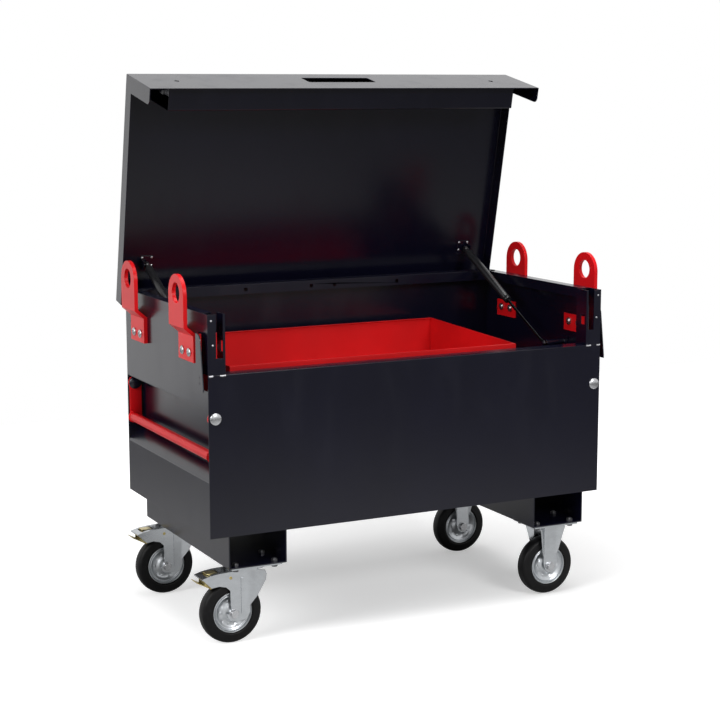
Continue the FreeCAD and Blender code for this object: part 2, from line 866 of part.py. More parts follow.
def make_deadbolt(side):
    """Square steel bolt, drawn back, that slides outwards into the post."""
    bolt = box(side * (bolt_end - bolt_length), side * bolt_end, bolt_y - bolt_thick / 2.0,
               bolt_y + bolt_thick / 2.0, bolt_z - bolt_tall / 2.0, bolt_z + bolt_tall / 2.0)
    return bolt.makeChamfer(bolt_chamfer, [edge for edge in bolt.Edges if edge.BoundBox.XLength < 1
                                  and abs(edge.BoundBox.Center.x - side * bolt_end) < 1])


def opened_point(y, z):
    """A point of the closed lid after the lid has swung open."""
    turn = math.radians(lid_open_angle)
    dy = y - hinge_y
    dz = z - hinge_z
    return (hinge_y + dy * math.cos(turn) + dz * math.sin(turn),
            hinge_z - dy * math.sin(turn) + dz * math.cos(turn))


def strut_direction():
    """Unit vector from the strut's foot on the body to its head on the open lid."""
    head = opened_point(strut_lid_y, strut_lid_z)
    dy = head[0] - strut_body_y
    dz = head[1] - strut_body_z
    length = math.hypot(dy, dz)
    return dy / length, dz / length, length


def along_strut(distance):
    uy, uz, _ = strut_direction()
    return strut_body_y + uy * distance, strut_body_z + uz * distance


def make_strut_rod(side):
    """Thin rod with an eye that turns on the body's stud."""
    uy, uz, length = strut_direction()
    x = side * strut_plane
    eye = rod((x - strut_eye_half, strut_body_y, strut_body_z), (1, 0, 0), strut_eye_radius,
              2 * strut_eye_half)
    tube_start = length - strut_eye_radius - strut_neck / 2.0 - strut_tube_length
    start_y, start_z = along_strut(stud_radius)
    shaft = rod((x, start_y, start_z), (0, uy, uz), strut_rod_radius,
                tube_start + strut_rod_inside - stud_radius)
    whole = join([eye, shaft])
    return whole.cut(rod((x - strut_eye_half - 1, strut_body_y, strut_body_z), (1, 0, 0),
                         stud_radius + stud_clearance, 2 * strut_eye_half + 2))


def make_strut_cylinder(side):
    """Gas cylinder with a guide at its mouth and a flat end fitting beside the lid's stud."""
    uy, uz, length = strut_direction()
    x = side * strut_plane
    tube_start = length - strut_eye_radius - strut_neck / 2.0 - strut_tube_length
    start = along_strut(tube_start)
    body = rod((x, start[0], start[1]), (0, uy, uz), strut_tube_radius, strut_tube_length)
    bore_start = along_strut(tube_start + strut_guide)
    bore_length = strut_tube_length - strut_guide - strut_cap
    bore = rod((x, bore_start[0], bore_start[1]), (0, uy, uz), strut_tube_radius - strut_tube_wall,
               bore_length)
    guide = rod((x, start[0], start[1]), (0, uy, uz), strut_rod_radius + strut_gland_clearance,
                strut_guide + 1)
    neck_start = along_strut(tube_start + strut_tube_length - strut_tube_wall)
    neck = rod((x, neck_start[0], neck_start[1]), (0, uy, uz), strut_neck_radius,
               strut_neck / 2.0 + stud_radius)
    head = along_strut(length)
    eye = rod((x - strut_eye_half, head[0], head[1]), (1, 0, 0), strut_eye_radius, 2 * strut_eye_half)
    return join([body.cut(bore).cut(guide), neck, eye])


def make_strut_brackets_body():
    """Stand-off brackets on the end plates, each with a stud through the rod's eye."""
    brackets = []
    for side in (-1, 1):
        y, z = strut_body_y, strut_body_z
        half = bracket_width / 2.0
        foot_x = inner_x - bracket_sheet
        rise = bracket_height / 2.0
        foot = box(side * inner_x, side * foot_x, y - half, y + half, z - rise, z + rise)
        arm_in = strut_plane + strut_eye_half + joint_gap
        spacer = rod((side * foot_x, y, z), (-side, 0, 0), spacer_radius, foot_x - arm_in)
        stud = rod((side * foot_x, y, z), (-side, 0, 0), stud_radius,
                   foot_x - strut_plane + strut_eye_half + clip_height)
        clip = rod((side * (strut_plane - strut_eye_half - joint_gap), y, z), (-side, 0, 0),
                   clip_radius, clip_height)
        brackets.append(join([foot, spacer, stud, clip]))
    return brackets


def make_strut_brackets_lid():
    """Angles under the closed lid whose studs end just beside the struts' end fittings."""
    brackets = []
    for side in (-1, 1):
        y, z = strut_lid_y, strut_lid_z
        half = bracket_width / 2.0
        roof = lid_top - lid_sheet
        web_in = strut_plane + strut_eye_half + lid_web_gap
        flat = box(side * (web_in + bracket_sheet), side * (web_in - lid_bracket_reach), y - half,
                   y + half, roof - bracket_sheet, roof)
        web = box(side * web_in, side * (web_in + bracket_sheet), y - lid_web_width / 2.0,
                  y + lid_web_width / 2.0, z - lid_bracket_drop, roof)
        stud = rod((side * (web_in + 1.0), y, z), (-side, 0, 0), stud_radius,
                   web_in + 1.0 - strut_plane - strut_eye_half - joint_gap)
        brackets.append(join([flat, web, stud]))
    return brackets


def wheel_profile(points, side, end):
    """Solid of revolution about a wheel's axle from points given as radius and width."""
    x = wheel_x(side)
    y = end * castor_y
    corners = [V(x + r, y + w, -axle_drop) for r, w in points]
    face = Part.Face(Part.makePolygon(corners + corners[:1]))
    return face.revolve(V(x, y, -axle_drop), V(0, 1, 0), 360)


def wheel_x(side):
    return -swivel_x - swivel_trail if side < 0 else rigid_axle_x


def make_rim(side, end):
    """Pressed steel rim: hub tube, dished web and a flanged barrel."""
    t = rim_sheet
    half = wheel_width / 2.0
    hub = hub_width / 2.0
    bore = axle_radius + running_fit
    barrel = half - rim_lip
    lip = half - rim_lip / 5.0
    right = [(bore, hub), (hub_radius, hub), (hub_radius, web_hub_half), (rim_radius - t, web_rim_half),
             (rim_radius - t, barrel), (rim_flange_radius - t, lip),
             (rim_flange_radius, lip), (rim_radius, barrel - rim_lip / 5.0)]
    left = [(r, -w) for r, w in reversed(right)]
    return wheel_profile(right + left, side, end)


def make_tyre(side, end):
    """Black tyre, rounded at the shoulders, seated on the rim's barrel."""
    half = wheel_width / 2.0
    points = [(rim_radius, half - rim_lip - rim_lip / 5.0), (rim_flange_radius, half - rim_lip / 5.0),
              (rim_flange_radius + rim_lip, half)]
    centre = (wheel_radius - tyre_shoulder, half - tyre_shoulder)
    for step in range(7):
        turn = math.radians(90.0 * step / 6.0)
        points.append((centre[0] + tyre_shoulder * math.sin(turn),
                       centre[1] + tyre_shoulder * math.cos(turn)))
    left = [(r, -w) for r, w in reversed(points)]
    return wheel_profile(points + left, side, end)


def castor_plate(side, end):
    """Top plate with its four bolt holes."""
    x = castor_centre(side)
    y = end * castor_y
    top = -skid_height
    plate = box(x - plate_length / 2.0, x + plate_length / 2.0, y - plate_width / 2.0,
                y + plate_width / 2.0, top - plate_sheet, top)
    for bolt_x, bolt_y in castor_bolt_places(side, end):
        plate = plate.cut(rod((bolt_x, bolt_y, top - plate_sheet - 1), (0, 0, 1),
                              castor_bolt_radius + hole_clearance, plate_sheet + 2))
    return plate


def make_swivel_plate(end):
    """Swivel castor's fixed half: top plate, race and riveted kingpin."""
    x = -swivel_x
    y = end * castor_y
    low = -skid_height - plate_sheet
    race = rod((x, y, low), (0, 0, -1), race_radius, race_height)
    pin_length = race_height + 2 * joint_gap + crown_sheet
    pin = rod((x, y, low), (0, 0, -1), kingpin_radius, pin_length + kingpin_head_height)
    head = rod((x, y, low - pin_length), (0, 0, -1), kingpin_head, kingpin_head_height)
    return join([castor_plate(-1, end), race, pin, head])


def crown_top():
    return -skid_height - plate_sheet - race_height - joint_gap


def fork_leg_outline():
    """Side view of the swivel fork, X measured from the kingpin, wheel trailing to -X."""
    top = crown_top()
    axle = (-swivel_trail, -axle_drop)
    points = [(-fork_web_front, top), (-fork_crown_back, top)]
    points += [(-reach, -drop) for reach, drop in fork_hood_top]
    points += [(-reach, -drop) for reach, drop in fork_hood_low]
    points.append((-fork_web_back, axle[1]))
    for step in range(4):
        turn = math.radians(180.0 + 30.0 * step)
        points.append((axle[0] + fork_foot_radius * math.cos(turn),
                       axle[1] + fork_foot_radius * math.sin(turn)))
    points += [(-fork_foot_front, axle[1] - fork_foot_radius), (-fork_web_low_front, axle[1])]
    return points


def flared_flange(profile, edge_x, toward, inner_face, across):
    """Sheet flange that flares away from the wheel from one upright edge of a castor leg."""
    points = [(edge_x + toward * reach, -drop) for reach, drop in profile]
    flange = plate_xz(points, inner_face, inner_face + across * leg_sheet)
    turn = toward * across * flange_flare
    flange.rotate(V(edge_x, inner_face, 0), V(0, 0, 1), turn)
    return flange


def make_swivel_fork(end):
    """Fork: crown that turns on the kingpin, two ribbed legs that hold the axle, and a brake hood."""
    x = -swivel_x
    y = end * castor_y
    top = crown_top()
    outline = [(x + dx, z) for dx, z in fork_leg_outline()]
    outer = leg_half_gap + leg_sheet
    pieces = []
    for across in (-1, 1):
        inner_face = y + across * leg_half_gap
        pieces.append(plate_xz(outline, inner_face, y + across * outer))
        pieces.append(flared_flange(fork_flange, x - fork_web_front, 1, inner_face, across))
        pieces.append(box(x - fork_rib_back, x - fork_rib_front, inner_face,
                          y + across * (outer + fork_rib_height), -fork_rib_bottom, -fork_rib_top))
    pieces.append(rod((x, y, top), (0, 0, -1), crown_radius, crown_sheet))
    pieces.append(box(x - fork_crown_back, x + fork_crown_front, y - outer, y + outer,
                      top - crown_sheet, top))
    above = [(-fork_crown_back, top)] + [(-reach, -drop) for reach, drop in fork_hood_top]
    below = [(dx, z - fork_hood_sheet) for dx, z in reversed(above)]
    hood = plate_xz([(x + dx, z) for dx, z in above + below], y - outer, y + outer)
    window_half = pedal_pad_half + pedal_window_gap
    hood = hood.cut(box(x - pedal_pad_back - pedal_window_gap, x - pedal_pad_front + pedal_window_gap,
                        y - window_half, y + window_half, -fork_rib_top, top))
    pieces.append(hood)
    fork = join(pieces)
    fork = fork.cut(rod((x, y, top + 1), (0, 0, -1), kingpin_radius + running_fit, crown_sheet + 2))
    fork = fork.cut(rod((x - swivel_trail, y - outer - 1, -axle_drop), (0, 1, 0), axle_radius,
                        2 * outer + 2))
    return fork.cut(rod((x - pedal_pivot_x, y - outer - 1, -pedal_pivot_drop), (0, 1, 0),
                        pedal_pivot_radius + running_fit, 2 * outer + 2))


def make_axle(side, end):
    """Axle bolt with a hexagon head and nut outside the fork legs."""
    x = wheel_x(side)
    y = end * castor_y
    outer = leg_half_gap + leg_sheet
    shank = rod((x, y - outer, -axle_drop), (0, 1, 0), axle_radius, 2 * outer)
    head = hexagon((x, y - outer, -axle_drop), (0, -1, 0), axle_head_radius, axle_head_height)
    nut = hexagon((x, y + outer, -axle_drop), (0, 1, 0), axle_head_radius, axle_head_height)
    return join([shank, head, nut])


def make_rigid_bracket(end):
    """Fixed castor: top plate and two legs down to the axle, both long edges of each leg flared."""
    x = rigid_axle_x
    y = end * castor_y
    top = -skid_height - plate_sheet
    outer = leg_half_gap + leg_sheet
    outline = [(x - rigid_web_half, top), (x - rigid_web_half, -axle_drop + rigid_foot_shoulder)]
    for step in range(5):
        turn = math.radians(210.0 + 30.0 * step)
        outline.append((x + rigid_foot_radius * math.cos(turn),
                        -axle_drop + rigid_foot_radius * math.sin(turn)))
    outline += [(x + rigid_web_half, -axle_drop + rigid_foot_shoulder), (x + rigid_web_half, top)]
    pieces = [castor_plate(1, end)]
    for across in (-1, 1):
        inner_face = y + across * leg_half_gap
        pieces.append(plate_xz(outline, inner_face, y + across * outer))
        for toward in (-1, 1):
            edge_x = x + toward * rigid_web_half
            pieces.append(flared_flange(rigid_flange, edge_x, toward, inner_face, across))
    bracket = join(pieces)
    return bracket.cut(rod((x, y - outer - 1, -axle_drop), (0, 1, 0), axle_radius, 2 * outer + 2))


def make_brake_pedal(end):
    """Foot pedal: a channel on a cross pin in the fork's legs, a blade and a pad through the hood."""
    x = -swivel_x
    y = end * castor_y
    half = pedal_half_width
    above = [(x - reach, -drop) for reach, drop in pedal_roof]
    below = [(px, z - pedal_sheet) for px, z in reversed(above)]
    pieces = [plate_xz(above + below, y - half, y + half)]
    cheek = above + [(x - reach, -drop) for reach, drop in pedal_cheek_low]
    for across in (-1, 1):
        pieces.append(plate_xz(cheek, y + across * (half - pedal_sheet), y + across * half))
    outer = leg_half_gap + leg_sheet
    pieces.append(rod((x - pedal_pivot_x, y - outer, -pedal_pivot_drop), (0, 1, 0),
                      pedal_pivot_radius, 2 * outer))
    blade_top = [(x - reach, -drop) for reach, drop in pedal_blade]
    blade_low = [(px, z - pedal_sheet) for px, z in reversed(blade_top)]
    pieces.append(plate_xz(blade_top + blade_low, y - pedal_blade_half, y + pedal_blade_half))
    pieces.append(box(x - pedal_pad_back, x - pedal_pad_front, y - pedal_pad_half, y + pedal_pad_half,
                      -pedal_roof[1][1], -pedal_pad_top))
    return join(pieces)


def make_castor_bolts():
    """Bolts that hold the castor plates: head below the plate, nut inside the skid."""
    pieces = []
    for side, end in lug_places():
        for x, y in castor_bolt_places(side, end):
            low = -skid_height - plate_sheet
            high = -skid_height + skid_sheet
            reach = high - low + castor_nut_height + castor_bolt_proud
            shank = rod((x, y, low), (0, 0, 1), castor_bolt_radius, reach)
            head = hexagon((x, y, low), (0, 0, -1), castor_head_radius, castor_head_height)
            pieces.append(join([shank, head]))
            nut = hexagon((x, y, high), (0, 0, 1), castor_head_radius, castor_nut_height)
            pieces.append(nut.cut(rod((x, y, high), (0, 0, 1), castor_bolt_radius, castor_nut_height)))
    return pieces


def make_lid_buffers():
    """Rubber stops on top of the end plates."""
    stops = []
    for side in (-1, 1):
        x = side * (half_width - end_lip_width / 2.0)
        stops.append(rod((x, buffer_y, body_height), (0, 0, 1), buffer_radius, buffer_height))
    return stops


def main():
    os.makedirs("parts", exist_ok=True)
    save("floor_panel", make_floor_panel())
    save("front_panel", pivot_holes(make_front_panel(), -half_depth - 1, -inner_y + 1))
    save("rear_panel", pivot_holes(make_rear_panel(), inner_y - 1, half_depth + 1))
    save("rear_rail", make_rear_rail())
    save("lug_backing_plates", make_backing_plates())
    save("lug_bolts", make_lug_bolts())
    save("lug_nuts", make_lug_nuts())
    save("handle_pivot_bolts", make_handle_pivots())
    save("handle_pivot_caps", make_handle_pivot_caps())
    save("tray_runners", make_runners())
    save("tool_tray", make_tray())
    save("hinge_leaf_body", make_hinge_leaf_body())
    save("hinge_pin", make_hinge_pin())
    save("castor_bolts", make_castor_bolts())
    save("lid_buffers", make_lid_buffers())
    save("strut_brackets_body", make_strut_brackets_body())
    save("lid_shell", turned_about_hinge(make_lid_shell()))
    save("hinge_leaf_lid", turned_about_hinge(make_hinge_leaf_lid()))
    save("lock_cover", turned_about_hinge(make_lock_cover()))
    save("lock_cases", [turned_about_hinge(case) for case in make_lock_cases()])
    save("strut_brackets_lid", [turned_about_hinge(shape) for shape in make_strut_brackets_lid()])
    save("rigid_axles", [make_axle(1, -1), make_axle(1, 1)])
    for side in (-1, 1):
        name = side_name(side)
        plate = drill_lug_holes(make_upper_end_plate(side), side, inner_x - 1, sheet + 2)
        save("upper_end_plate_" + name, plate)
        save("end_wall_" + name, make_end_wall(side))
        save("front_post_" + name, make_front_post(side))
        save("skid_" + name, make_skid(side))
        save("lift_handle_" + name, make_handle(side))
        save("deadbolt_" + name, turned_about_hinge(make_deadbolt(side)))
        save("strut_rod_" + name, make_strut_rod(side))
        save("strut_cylinder_" + name, make_strut_cylinder(side))
    for side, end in lug_places():
        place = end_name(end) + "_" + side_name(side)
        save("lifting_lug_" + place, make_lug(side, end))
        save("wheel_rim_" + place, make_rim(side, end))
        save("tyre_" + place, make_tyre(side, end))
    for end in (-1, 1):
        save("swivel_plate_" + end_name(end), make_swivel_plate(end))
        save("swivel_fork_" + end_name(end), make_swivel_fork(end))
        save("swivel_axle_" + end_name(end), make_axle(-1, end))
        save("brake_pedal_" + end_name(end), make_brake_pedal(end))
        save("rigid_bracket_" + end_name(end), make_rigid_bracket(end))


main()
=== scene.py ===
import json
import math

import bmesh
import bpy
import numpy as np
from mathutils import Matrix, Vector


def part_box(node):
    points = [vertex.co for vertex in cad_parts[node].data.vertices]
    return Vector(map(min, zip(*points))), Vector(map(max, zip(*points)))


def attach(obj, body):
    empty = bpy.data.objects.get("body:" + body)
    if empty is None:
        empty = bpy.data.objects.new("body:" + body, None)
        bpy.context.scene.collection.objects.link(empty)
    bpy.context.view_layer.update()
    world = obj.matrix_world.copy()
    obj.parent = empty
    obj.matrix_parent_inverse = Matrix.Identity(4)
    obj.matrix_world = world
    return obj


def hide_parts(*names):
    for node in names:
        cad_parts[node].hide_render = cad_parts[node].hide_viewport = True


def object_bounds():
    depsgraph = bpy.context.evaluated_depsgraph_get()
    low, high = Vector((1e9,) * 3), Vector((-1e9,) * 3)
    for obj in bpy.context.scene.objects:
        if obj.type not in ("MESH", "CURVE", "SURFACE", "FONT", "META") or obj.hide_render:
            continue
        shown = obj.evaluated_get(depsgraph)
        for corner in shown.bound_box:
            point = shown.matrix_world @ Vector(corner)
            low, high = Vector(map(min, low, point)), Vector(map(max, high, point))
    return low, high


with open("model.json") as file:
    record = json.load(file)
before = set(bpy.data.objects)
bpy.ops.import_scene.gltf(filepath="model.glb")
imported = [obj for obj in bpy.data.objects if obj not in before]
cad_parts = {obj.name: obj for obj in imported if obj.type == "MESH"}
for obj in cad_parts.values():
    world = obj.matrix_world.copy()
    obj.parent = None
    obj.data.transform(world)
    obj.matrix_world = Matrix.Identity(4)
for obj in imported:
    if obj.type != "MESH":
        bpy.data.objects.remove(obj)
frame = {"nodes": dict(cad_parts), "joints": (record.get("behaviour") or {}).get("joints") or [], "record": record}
CAD_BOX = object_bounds()

bl_info = {
    "name": "Jobsite Box",
    "version": (1, 0, 0),
    "blender": (4, 5, 0),
    "location": "View3D > Sidebar > Jobsite Box",
    "description": "Dresses a wheeled steel jobsite box around its construction model",
    "category": "Object",
}

SIDES = {"left": -1, "right": 1}
ENDS = {"front": -1, "rear": 1}
PLACES = [(end, side) for end in ENDS for side in SIDES]
JOINTS = {joint["name"]: joint for joint in frame["joints"]}
NODES = frame["nodes"]
BODY_OF = {node: body for body, members in frame["record"]["behaviour"]["bodies"].items()
           for node in members}
SLOT_OF = {part["node"]: part["material_slot"] for part in frame["record"]["subparts"]}

# Measures, in metres and degrees. Places are from the middle of the box, so a side's sign goes before x.

SEAM = 1e-6
FACET_SEAM = 2e-5
LEAST_FOLD = 18.0
LID_OPEN = 78.1
BRACKET_FACE = 0.5493
BRACKET_SCREWS = [(x, y) for x in (0.481, 0.508) for y in (0.194, 0.2165)]
PLUG_WELDS = ((0.5555, 0.535), (0.5515, 0.4755))
POST_BEADS = ((0.558, 0.0055), (0.527, 0.0075))
POST_BEAD_HEIGHT = 0.401
HANDLE_BAR = (0.553, 0.202)
CHAMFER_SLOPE = 0.58
CAMERA_PLACE = (-2.0424, -4.0277, 1.0902)
CAMERA_TURN = (26.789, -9.212, 0.032)
CAMERA_LENS = 84.83
AIR_LIGHT = 0.16
LAMPS = [
    ("top_softbox", (0.1, -0.3, 3.4), (0.0, 0.0, 0.2), (2.6, 2.2), 30.0, 100.0),
    ("left_softbox", (-3.4, -1.0, 1.9), (0.0, 0.0, 0.1), (1.6, 1.6), 8.0, 60.0),
    ("front_softbox", (0.6, -4.4, 2.4), (0.0, 0.0, 0.1), (1.6, 1.2), 8.0, 50.0),
]
GLOW_MIDDLE = (0.3, 0.2, 0.0)
GLOW_REACH = (0.5, 1.5)
GLOW_LEAST = 0.42
FLOOR_CORNERS = ((-6.0, -16.0), (9.0, -16.0), (9.0, 2.7), (-6.0, 2.7))


# Surfaces

def grid_faces(rows, columns):
    """Quads of a rows by columns grid of points, row after row, with every row closed round."""
    r, c = np.meshgrid(np.arange(rows - 1), np.arange(columns), indexing="ij")
    right = (c + 1) % columns
    here, below = r * columns, (r + 1) * columns
    return np.stack([here + c, here + right, below + right, below + c], axis=-1).reshape(-1, 4)


def show(name, mesh, material, sharp, body, replaces=()):
    """Object at the origin from a mesh, with its material and body.
    Edges that turn by more than the sharp angle stay hard."""
    mesh.materials.clear()
    mesh.materials.append(material)
    mesh.shade_smooth()
    mesh.set_sharp_from_angle(angle=math.radians(sharp))
    piece = bpy.data.objects.new(name, mesh)
    bpy.context.scene.collection.objects.link(piece)
    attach(piece, body)
    if replaces:
        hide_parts(*replaces)
    return piece


def new_piece(name, parts, material, body, sharp=35.0, replaces=()):
    """Piece from surfaces in metres, with merged seams and outward normals."""
    points, faces = joined(parts)
    mesh = bpy.data.meshes.new(name)
    mesh.from_pydata(points.tolist(), [], faces)
    shape = bmesh.new()
    shape.from_mesh(mesh)
    bmesh.ops.remove_doubles(shape, verts=shape.verts, dist=SEAM)
    bmesh.ops.dissolve_degenerate(shape, edges=shape.edges, dist=SEAM)
    bmesh.ops.recalc_face_normals(shape, faces=shape.faces)
    shape.to_mesh(mesh)
    shape.free()
    return show(name, mesh, material, sharp, body, replaces)


def joined(parts):
    """One point array and one face list from several surfaces."""
    points = []
    faces = []
    start = 0
    for part_points, part_faces in parts:
        part_points = np.asarray(part_points, float).reshape(-1, 3)
        points.append(part_points)
        faces.extend([[int(i) + start for i in face] for face in part_faces])
        start += len(part_points)
    return np.concatenate(points), faces


def axes_of(direction):
    """Two unit vectors square to a direction and to each other."""
    along = np.asarray(direction, float)
    along = along / np.linalg.norm(along)
    helper = np.array([0.0, 0.0, 1.0]) if abs(along[2]) < 0.9 else np.array([1.0, 0.0, 0.0])
    first = np.cross(along, helper)
    first /= np.linalg.norm(first)
    return along, first, np.cross(along, first)


def turned(profile, centre, direction, steps=48, wave=None):
    """Surface of revolution. A profile point (radius, height) goes round the axis through centre:
    point = centre + direction * (height + wave) + radius * (cos(turn) * first + sin(turn) * second).
    wave is a function of radius, height and turn that lifts the surface along the axis."""
    along, first, second = axes_of(direction)
    profile = np.asarray(profile, float)
    turn = np.linspace(0.0, 2.0 * np.pi, steps, endpoint=False)
    radius = profile[:, 0][:, None] * np.ones(steps)
    height = profile[:, 1][:, None] * np.ones(steps)
    around = turn[None, :] * np.ones((len(profile), 1))
    if wave is not None:
        height = height + wave(radius, height, around)
    ring = np.cos(around)[..., None] * first + np.sin(around)[..., None] * second
    points = np.asarray(centre, float) + height[..., None] * along + radius[..., None] * ring
    return points.reshape(-1, 3), grid_faces(len(profile), steps)


def arc(centre, radius, start, stop, count):
    """Points of a circular arc in a plane, from the start angle to the stop angle in degrees."""
    turn = np.radians(np.linspace(start, stop, count))
    return np.stack([centre[0] + radius * np.cos(turn), centre[1] + radius * np.sin(turn)], axis=-1)


def rounded_disc(radius, height, edge, count=5, inner=0.0):
    """Profile of a disc or ring with rounded rims, from its underside round to its top."""
    low = arc((radius - edge, edge), edge, -90.0, 0.0, count)
    high = arc((radius - edge, height - edge), edge, 0.0, 90.0, count)
    start = [[inner, 0.0]]
    stop = [[inner, height]]
    return np.concatenate([start, low, high, stop])


def hexagon_head(centre, direction, radius, height, chamfer):
    """Bolt head: a hexagon, chamfered on top. Its radius at a turn is the distance of its flats
    divided by the cosine of the turn folded into 60 degrees."""
    along, first, second = axes_of(direction)
    steps = 48
    turn = np.linspace(0.0, 2.0 * np.pi, steps, endpoint=False)
    folded = (turn + np.pi / 6.0) % (np.pi / 3.0) - np.pi / 6.0
    flat = radius * math.cos(math.pi / 6.0)
    outline = flat / np.cos(folded)
    top = np.minimum(outline, flat)
    levels = np.array([0.0, 0.0, height - chamfer, height, height])
    rings = np.stack([outline * 0.0, outline, outline, top, top * 0.0])
    heights = levels[:, None] * np.ones(steps)
    heights[2] -= (outline - flat) * CHAMFER_SLOPE
    ring = np.cos(turn)[:, None] * first + np.sin(turn)[:, None] * second
    points = np.asarray(centre, float) + heights[..., None] * along + rings[..., None] * ring[None]
    return points.reshape(-1, 3), grid_faces(len(levels), steps)


def domed_head(centre, direction, radius, height, socket=0.0):
    """Domed bolt head: a skirt, then a quarter of an ellipse, with a hollow on top where asked."""
    skirt = height * 0.22
    turn = np.linspace(0.0, np.pi / 2.0, 12)
    crown = np.stack([radius * np.cos(turn), skirt + (height - skirt) * np.sin(turn)], axis=-1)
    profile = [[0.0, 0.0], [radius * 0.97, 0.0], [radius, skirt * 0.4]] + crown.tolist()
    if socket:
        keep = [p for p in profile if p[0] > socket or p[1] <= skirt]
        level = keep[-1][1]
        profile = keep + [[socket, level], [socket * 0.92, level - height * 0.35],
                          [0.0, level - height * 0.4]]
    return turned(profile, centre, direction, steps=40)


def swept_tube(path, radius, steps=24):
    """Round tube: a circle carried along a path, with its two ends closed to a point on the path."""
    path = np.asarray(path, float)
    tangent = np.gradient(path, axis=0)
    tangent /= np.linalg.norm(tangent, axis=1)[:, None]
    helper = np.array([0.0, 0.0, 1.0]) if abs(tangent[0][2]) < 0.9 else np.array([0.0, 1.0, 0.0])
    first = np.cross(tangent, helper)
    first /= np.linalg.norm(first, axis=1)[:, None]
    second = np.cross(tangent, first)
    turn = np.linspace(0.0, 2.0 * np.pi, steps, endpoint=False)
    rings = (path[:, None, :] + radius * (np.cos(turn)[None, :, None] * first[:, None, :]
                                          + np.sin(turn)[None, :, None] * second[:, None, :]))
    caps = np.stack([np.repeat(path[:1], steps, axis=0), np.repeat(path[-1:], steps, axis=0)])
    points = np.concatenate([caps[:1], rings, caps[1:]])
    return points.reshape(-1, 3), grid_faces(len(path) + 2, steps)


def slab(outline, origin, first, second, across, thickness, edge):
    """Plate with a closed outline in the plane of first and second, carried across its thickness.
    Rings of the outline step in by edge at both faces, so that its rims are rounded."""
    outline = np.asarray(outline, float)
    before = np.roll(outline, 1, axis=0)
    after = np.roll(outline, -1, axis=0)
    normal = np.stack([(after - before)[:, 1], -(after - before)[:, 0]], axis=-1)
    normal /= np.maximum(np.linalg.norm(normal, axis=1), 1e-9)[:, None]
    normal *= math.copysign(1.0, np.sum(outline[:, 0] * after[:, 1] - after[:, 0] * outline[:, 1]))
    turn = np.radians(np.array([0.0, 45.0, 90.0]))
    inset = np.concatenate([edge * (1 - np.sin(turn)), edge * (1 - np.sin(turn[::-1]))])
    depth = np.concatenate([edge * (1 - np.cos(turn)), thickness - edge * (1 - np.cos(turn[::-1]))])
    flat = outline[None] - inset[:, None, None] * normal[None]
    origin, first, second, across = (np.asarray(v, float) for v in (origin, first, second, across))
    points = origin + flat[..., :1] * first + flat[..., 1:] * second + depth[:, None, None] * across
    count = len(outline)
    faces = [list(f) for f in grid_faces(len(depth), count)]
    faces.append(list(range(count)))
    faces.append(list(range((len(depth) - 1) * count, len(depth) * count)))
    return points.reshape(-1, 3), faces


# Reading the construction model

def islands(node):
    """Low and high corner of each separate solid in a node."""
    shape = bmesh.new()
    shape.from_mesh(NODES[node].data)
    bmesh.ops.remove_doubles(shape, verts=shape.verts, dist=FACET_SEAM)
    seen = set()
    found = []
    for vert in shape.verts:
        if vert in seen:
            continue
        seen.add(vert)
        stack = [vert]
        members = []
        while stack:
            here = stack.pop()
            members.append(tuple(here.co))
            for edge in here.link_edges:
                other = edge.other_vert(here)
                if other not in seen:
                    seen.add(other)
                    stack.append(other)
        members = np.array(members)
        found.append((members.min(axis=0), members.max(axis=0)))
    shape.free()
    return found


def near_and_far(low, high, axis):
    """Side of the box that a solid is on along an axis, then its least and greatest distance
    from the middle."""
    reach = sorted((abs(low[axis]), abs(high[axis])))
    return math.copysign(1.0, low[axis] + high[axis]), reach[0], reach[1]


def reach_along(node, start, along):
    """Least and greatest distance of a node's points from a place along a direction."""
    count = len(NODES[node].data.vertices)
    points = np.empty(count * 3)
    NODES[node].data.vertices.foreach_get("co", points)
    distance = (points.reshape(-1, 3) - start) @ along
    return distance.min(), distance.max()


def opened(point):
    """Place on the open lid of a point of the closed lid."""
    hinge = JOINTS["lid_hinge"]["pos_m"]
    turn = math.radians(LID_OPEN)
    away = np.asarray(point, float) - hinge
    return (point[0], hinge[1] + away[1] * math.cos(turn) + away[2] * math.sin(turn),
            hinge[2] - away[1] * math.sin(turn) + away[2] * math.cos(turn))


# Dressed copies of the sheet-metal nodes

def merged_copy(node):
    """Copy of a node's mesh with its triangles joined up and its flat faces made whole."""
    mesh = NODES[node].data.copy()
    shape = bmesh.new()
    shape.from_mesh(mesh)
    bmesh.ops.remove_doubles(shape, verts=shape.verts, dist=FACET_SEAM)
    bmesh.ops.dissolve_limit(shape, angle_limit=math.radians(1.0), verts=shape.verts, edges=shape.edges)
    shape.to_mesh(mesh)
    shape.free()
    return mesh


def mark_folds(mesh, sheet, fold, trim):
    """Writes a bevel weight on every edge: folds get the fold radius, cut edges only the trim.
    A cut edge borders a face no wider than the sheet; a hollow fold gets the inner radius."""
    shape = bmesh.new()
    shape.from_mesh(mesh)
    weights = shape.edges.layers.float
    layer = weights.get("bevel_weight_edge") or weights.new("bevel_weight_edge")
    widths = {}
    for face in shape.faces:
        perimeter = sum(edge.calc_length() for edge in face.edges)
        widths[face.index] = 2.0 * face.calc_area() / max(perimeter, 1e-9)
    for edge in shape.edges:
        edge[layer] = 0.0
        if len(edge.link_faces) != 2:
            continue
        angle = edge.calc_face_angle_signed(0.0)
        if abs(angle) < math.radians(LEAST_FOLD):
            continue
        if min(widths[face.index] for face in edge.link_faces) < sheet * 1.05:
            edge[layer] = trim / fold
        elif angle > 0:
            edge[layer] = 1.0
        else:
            edge[layer] = max((fold - sheet) / fold, trim / fold)
    shape.to_mesh(mesh)
    shape.free()


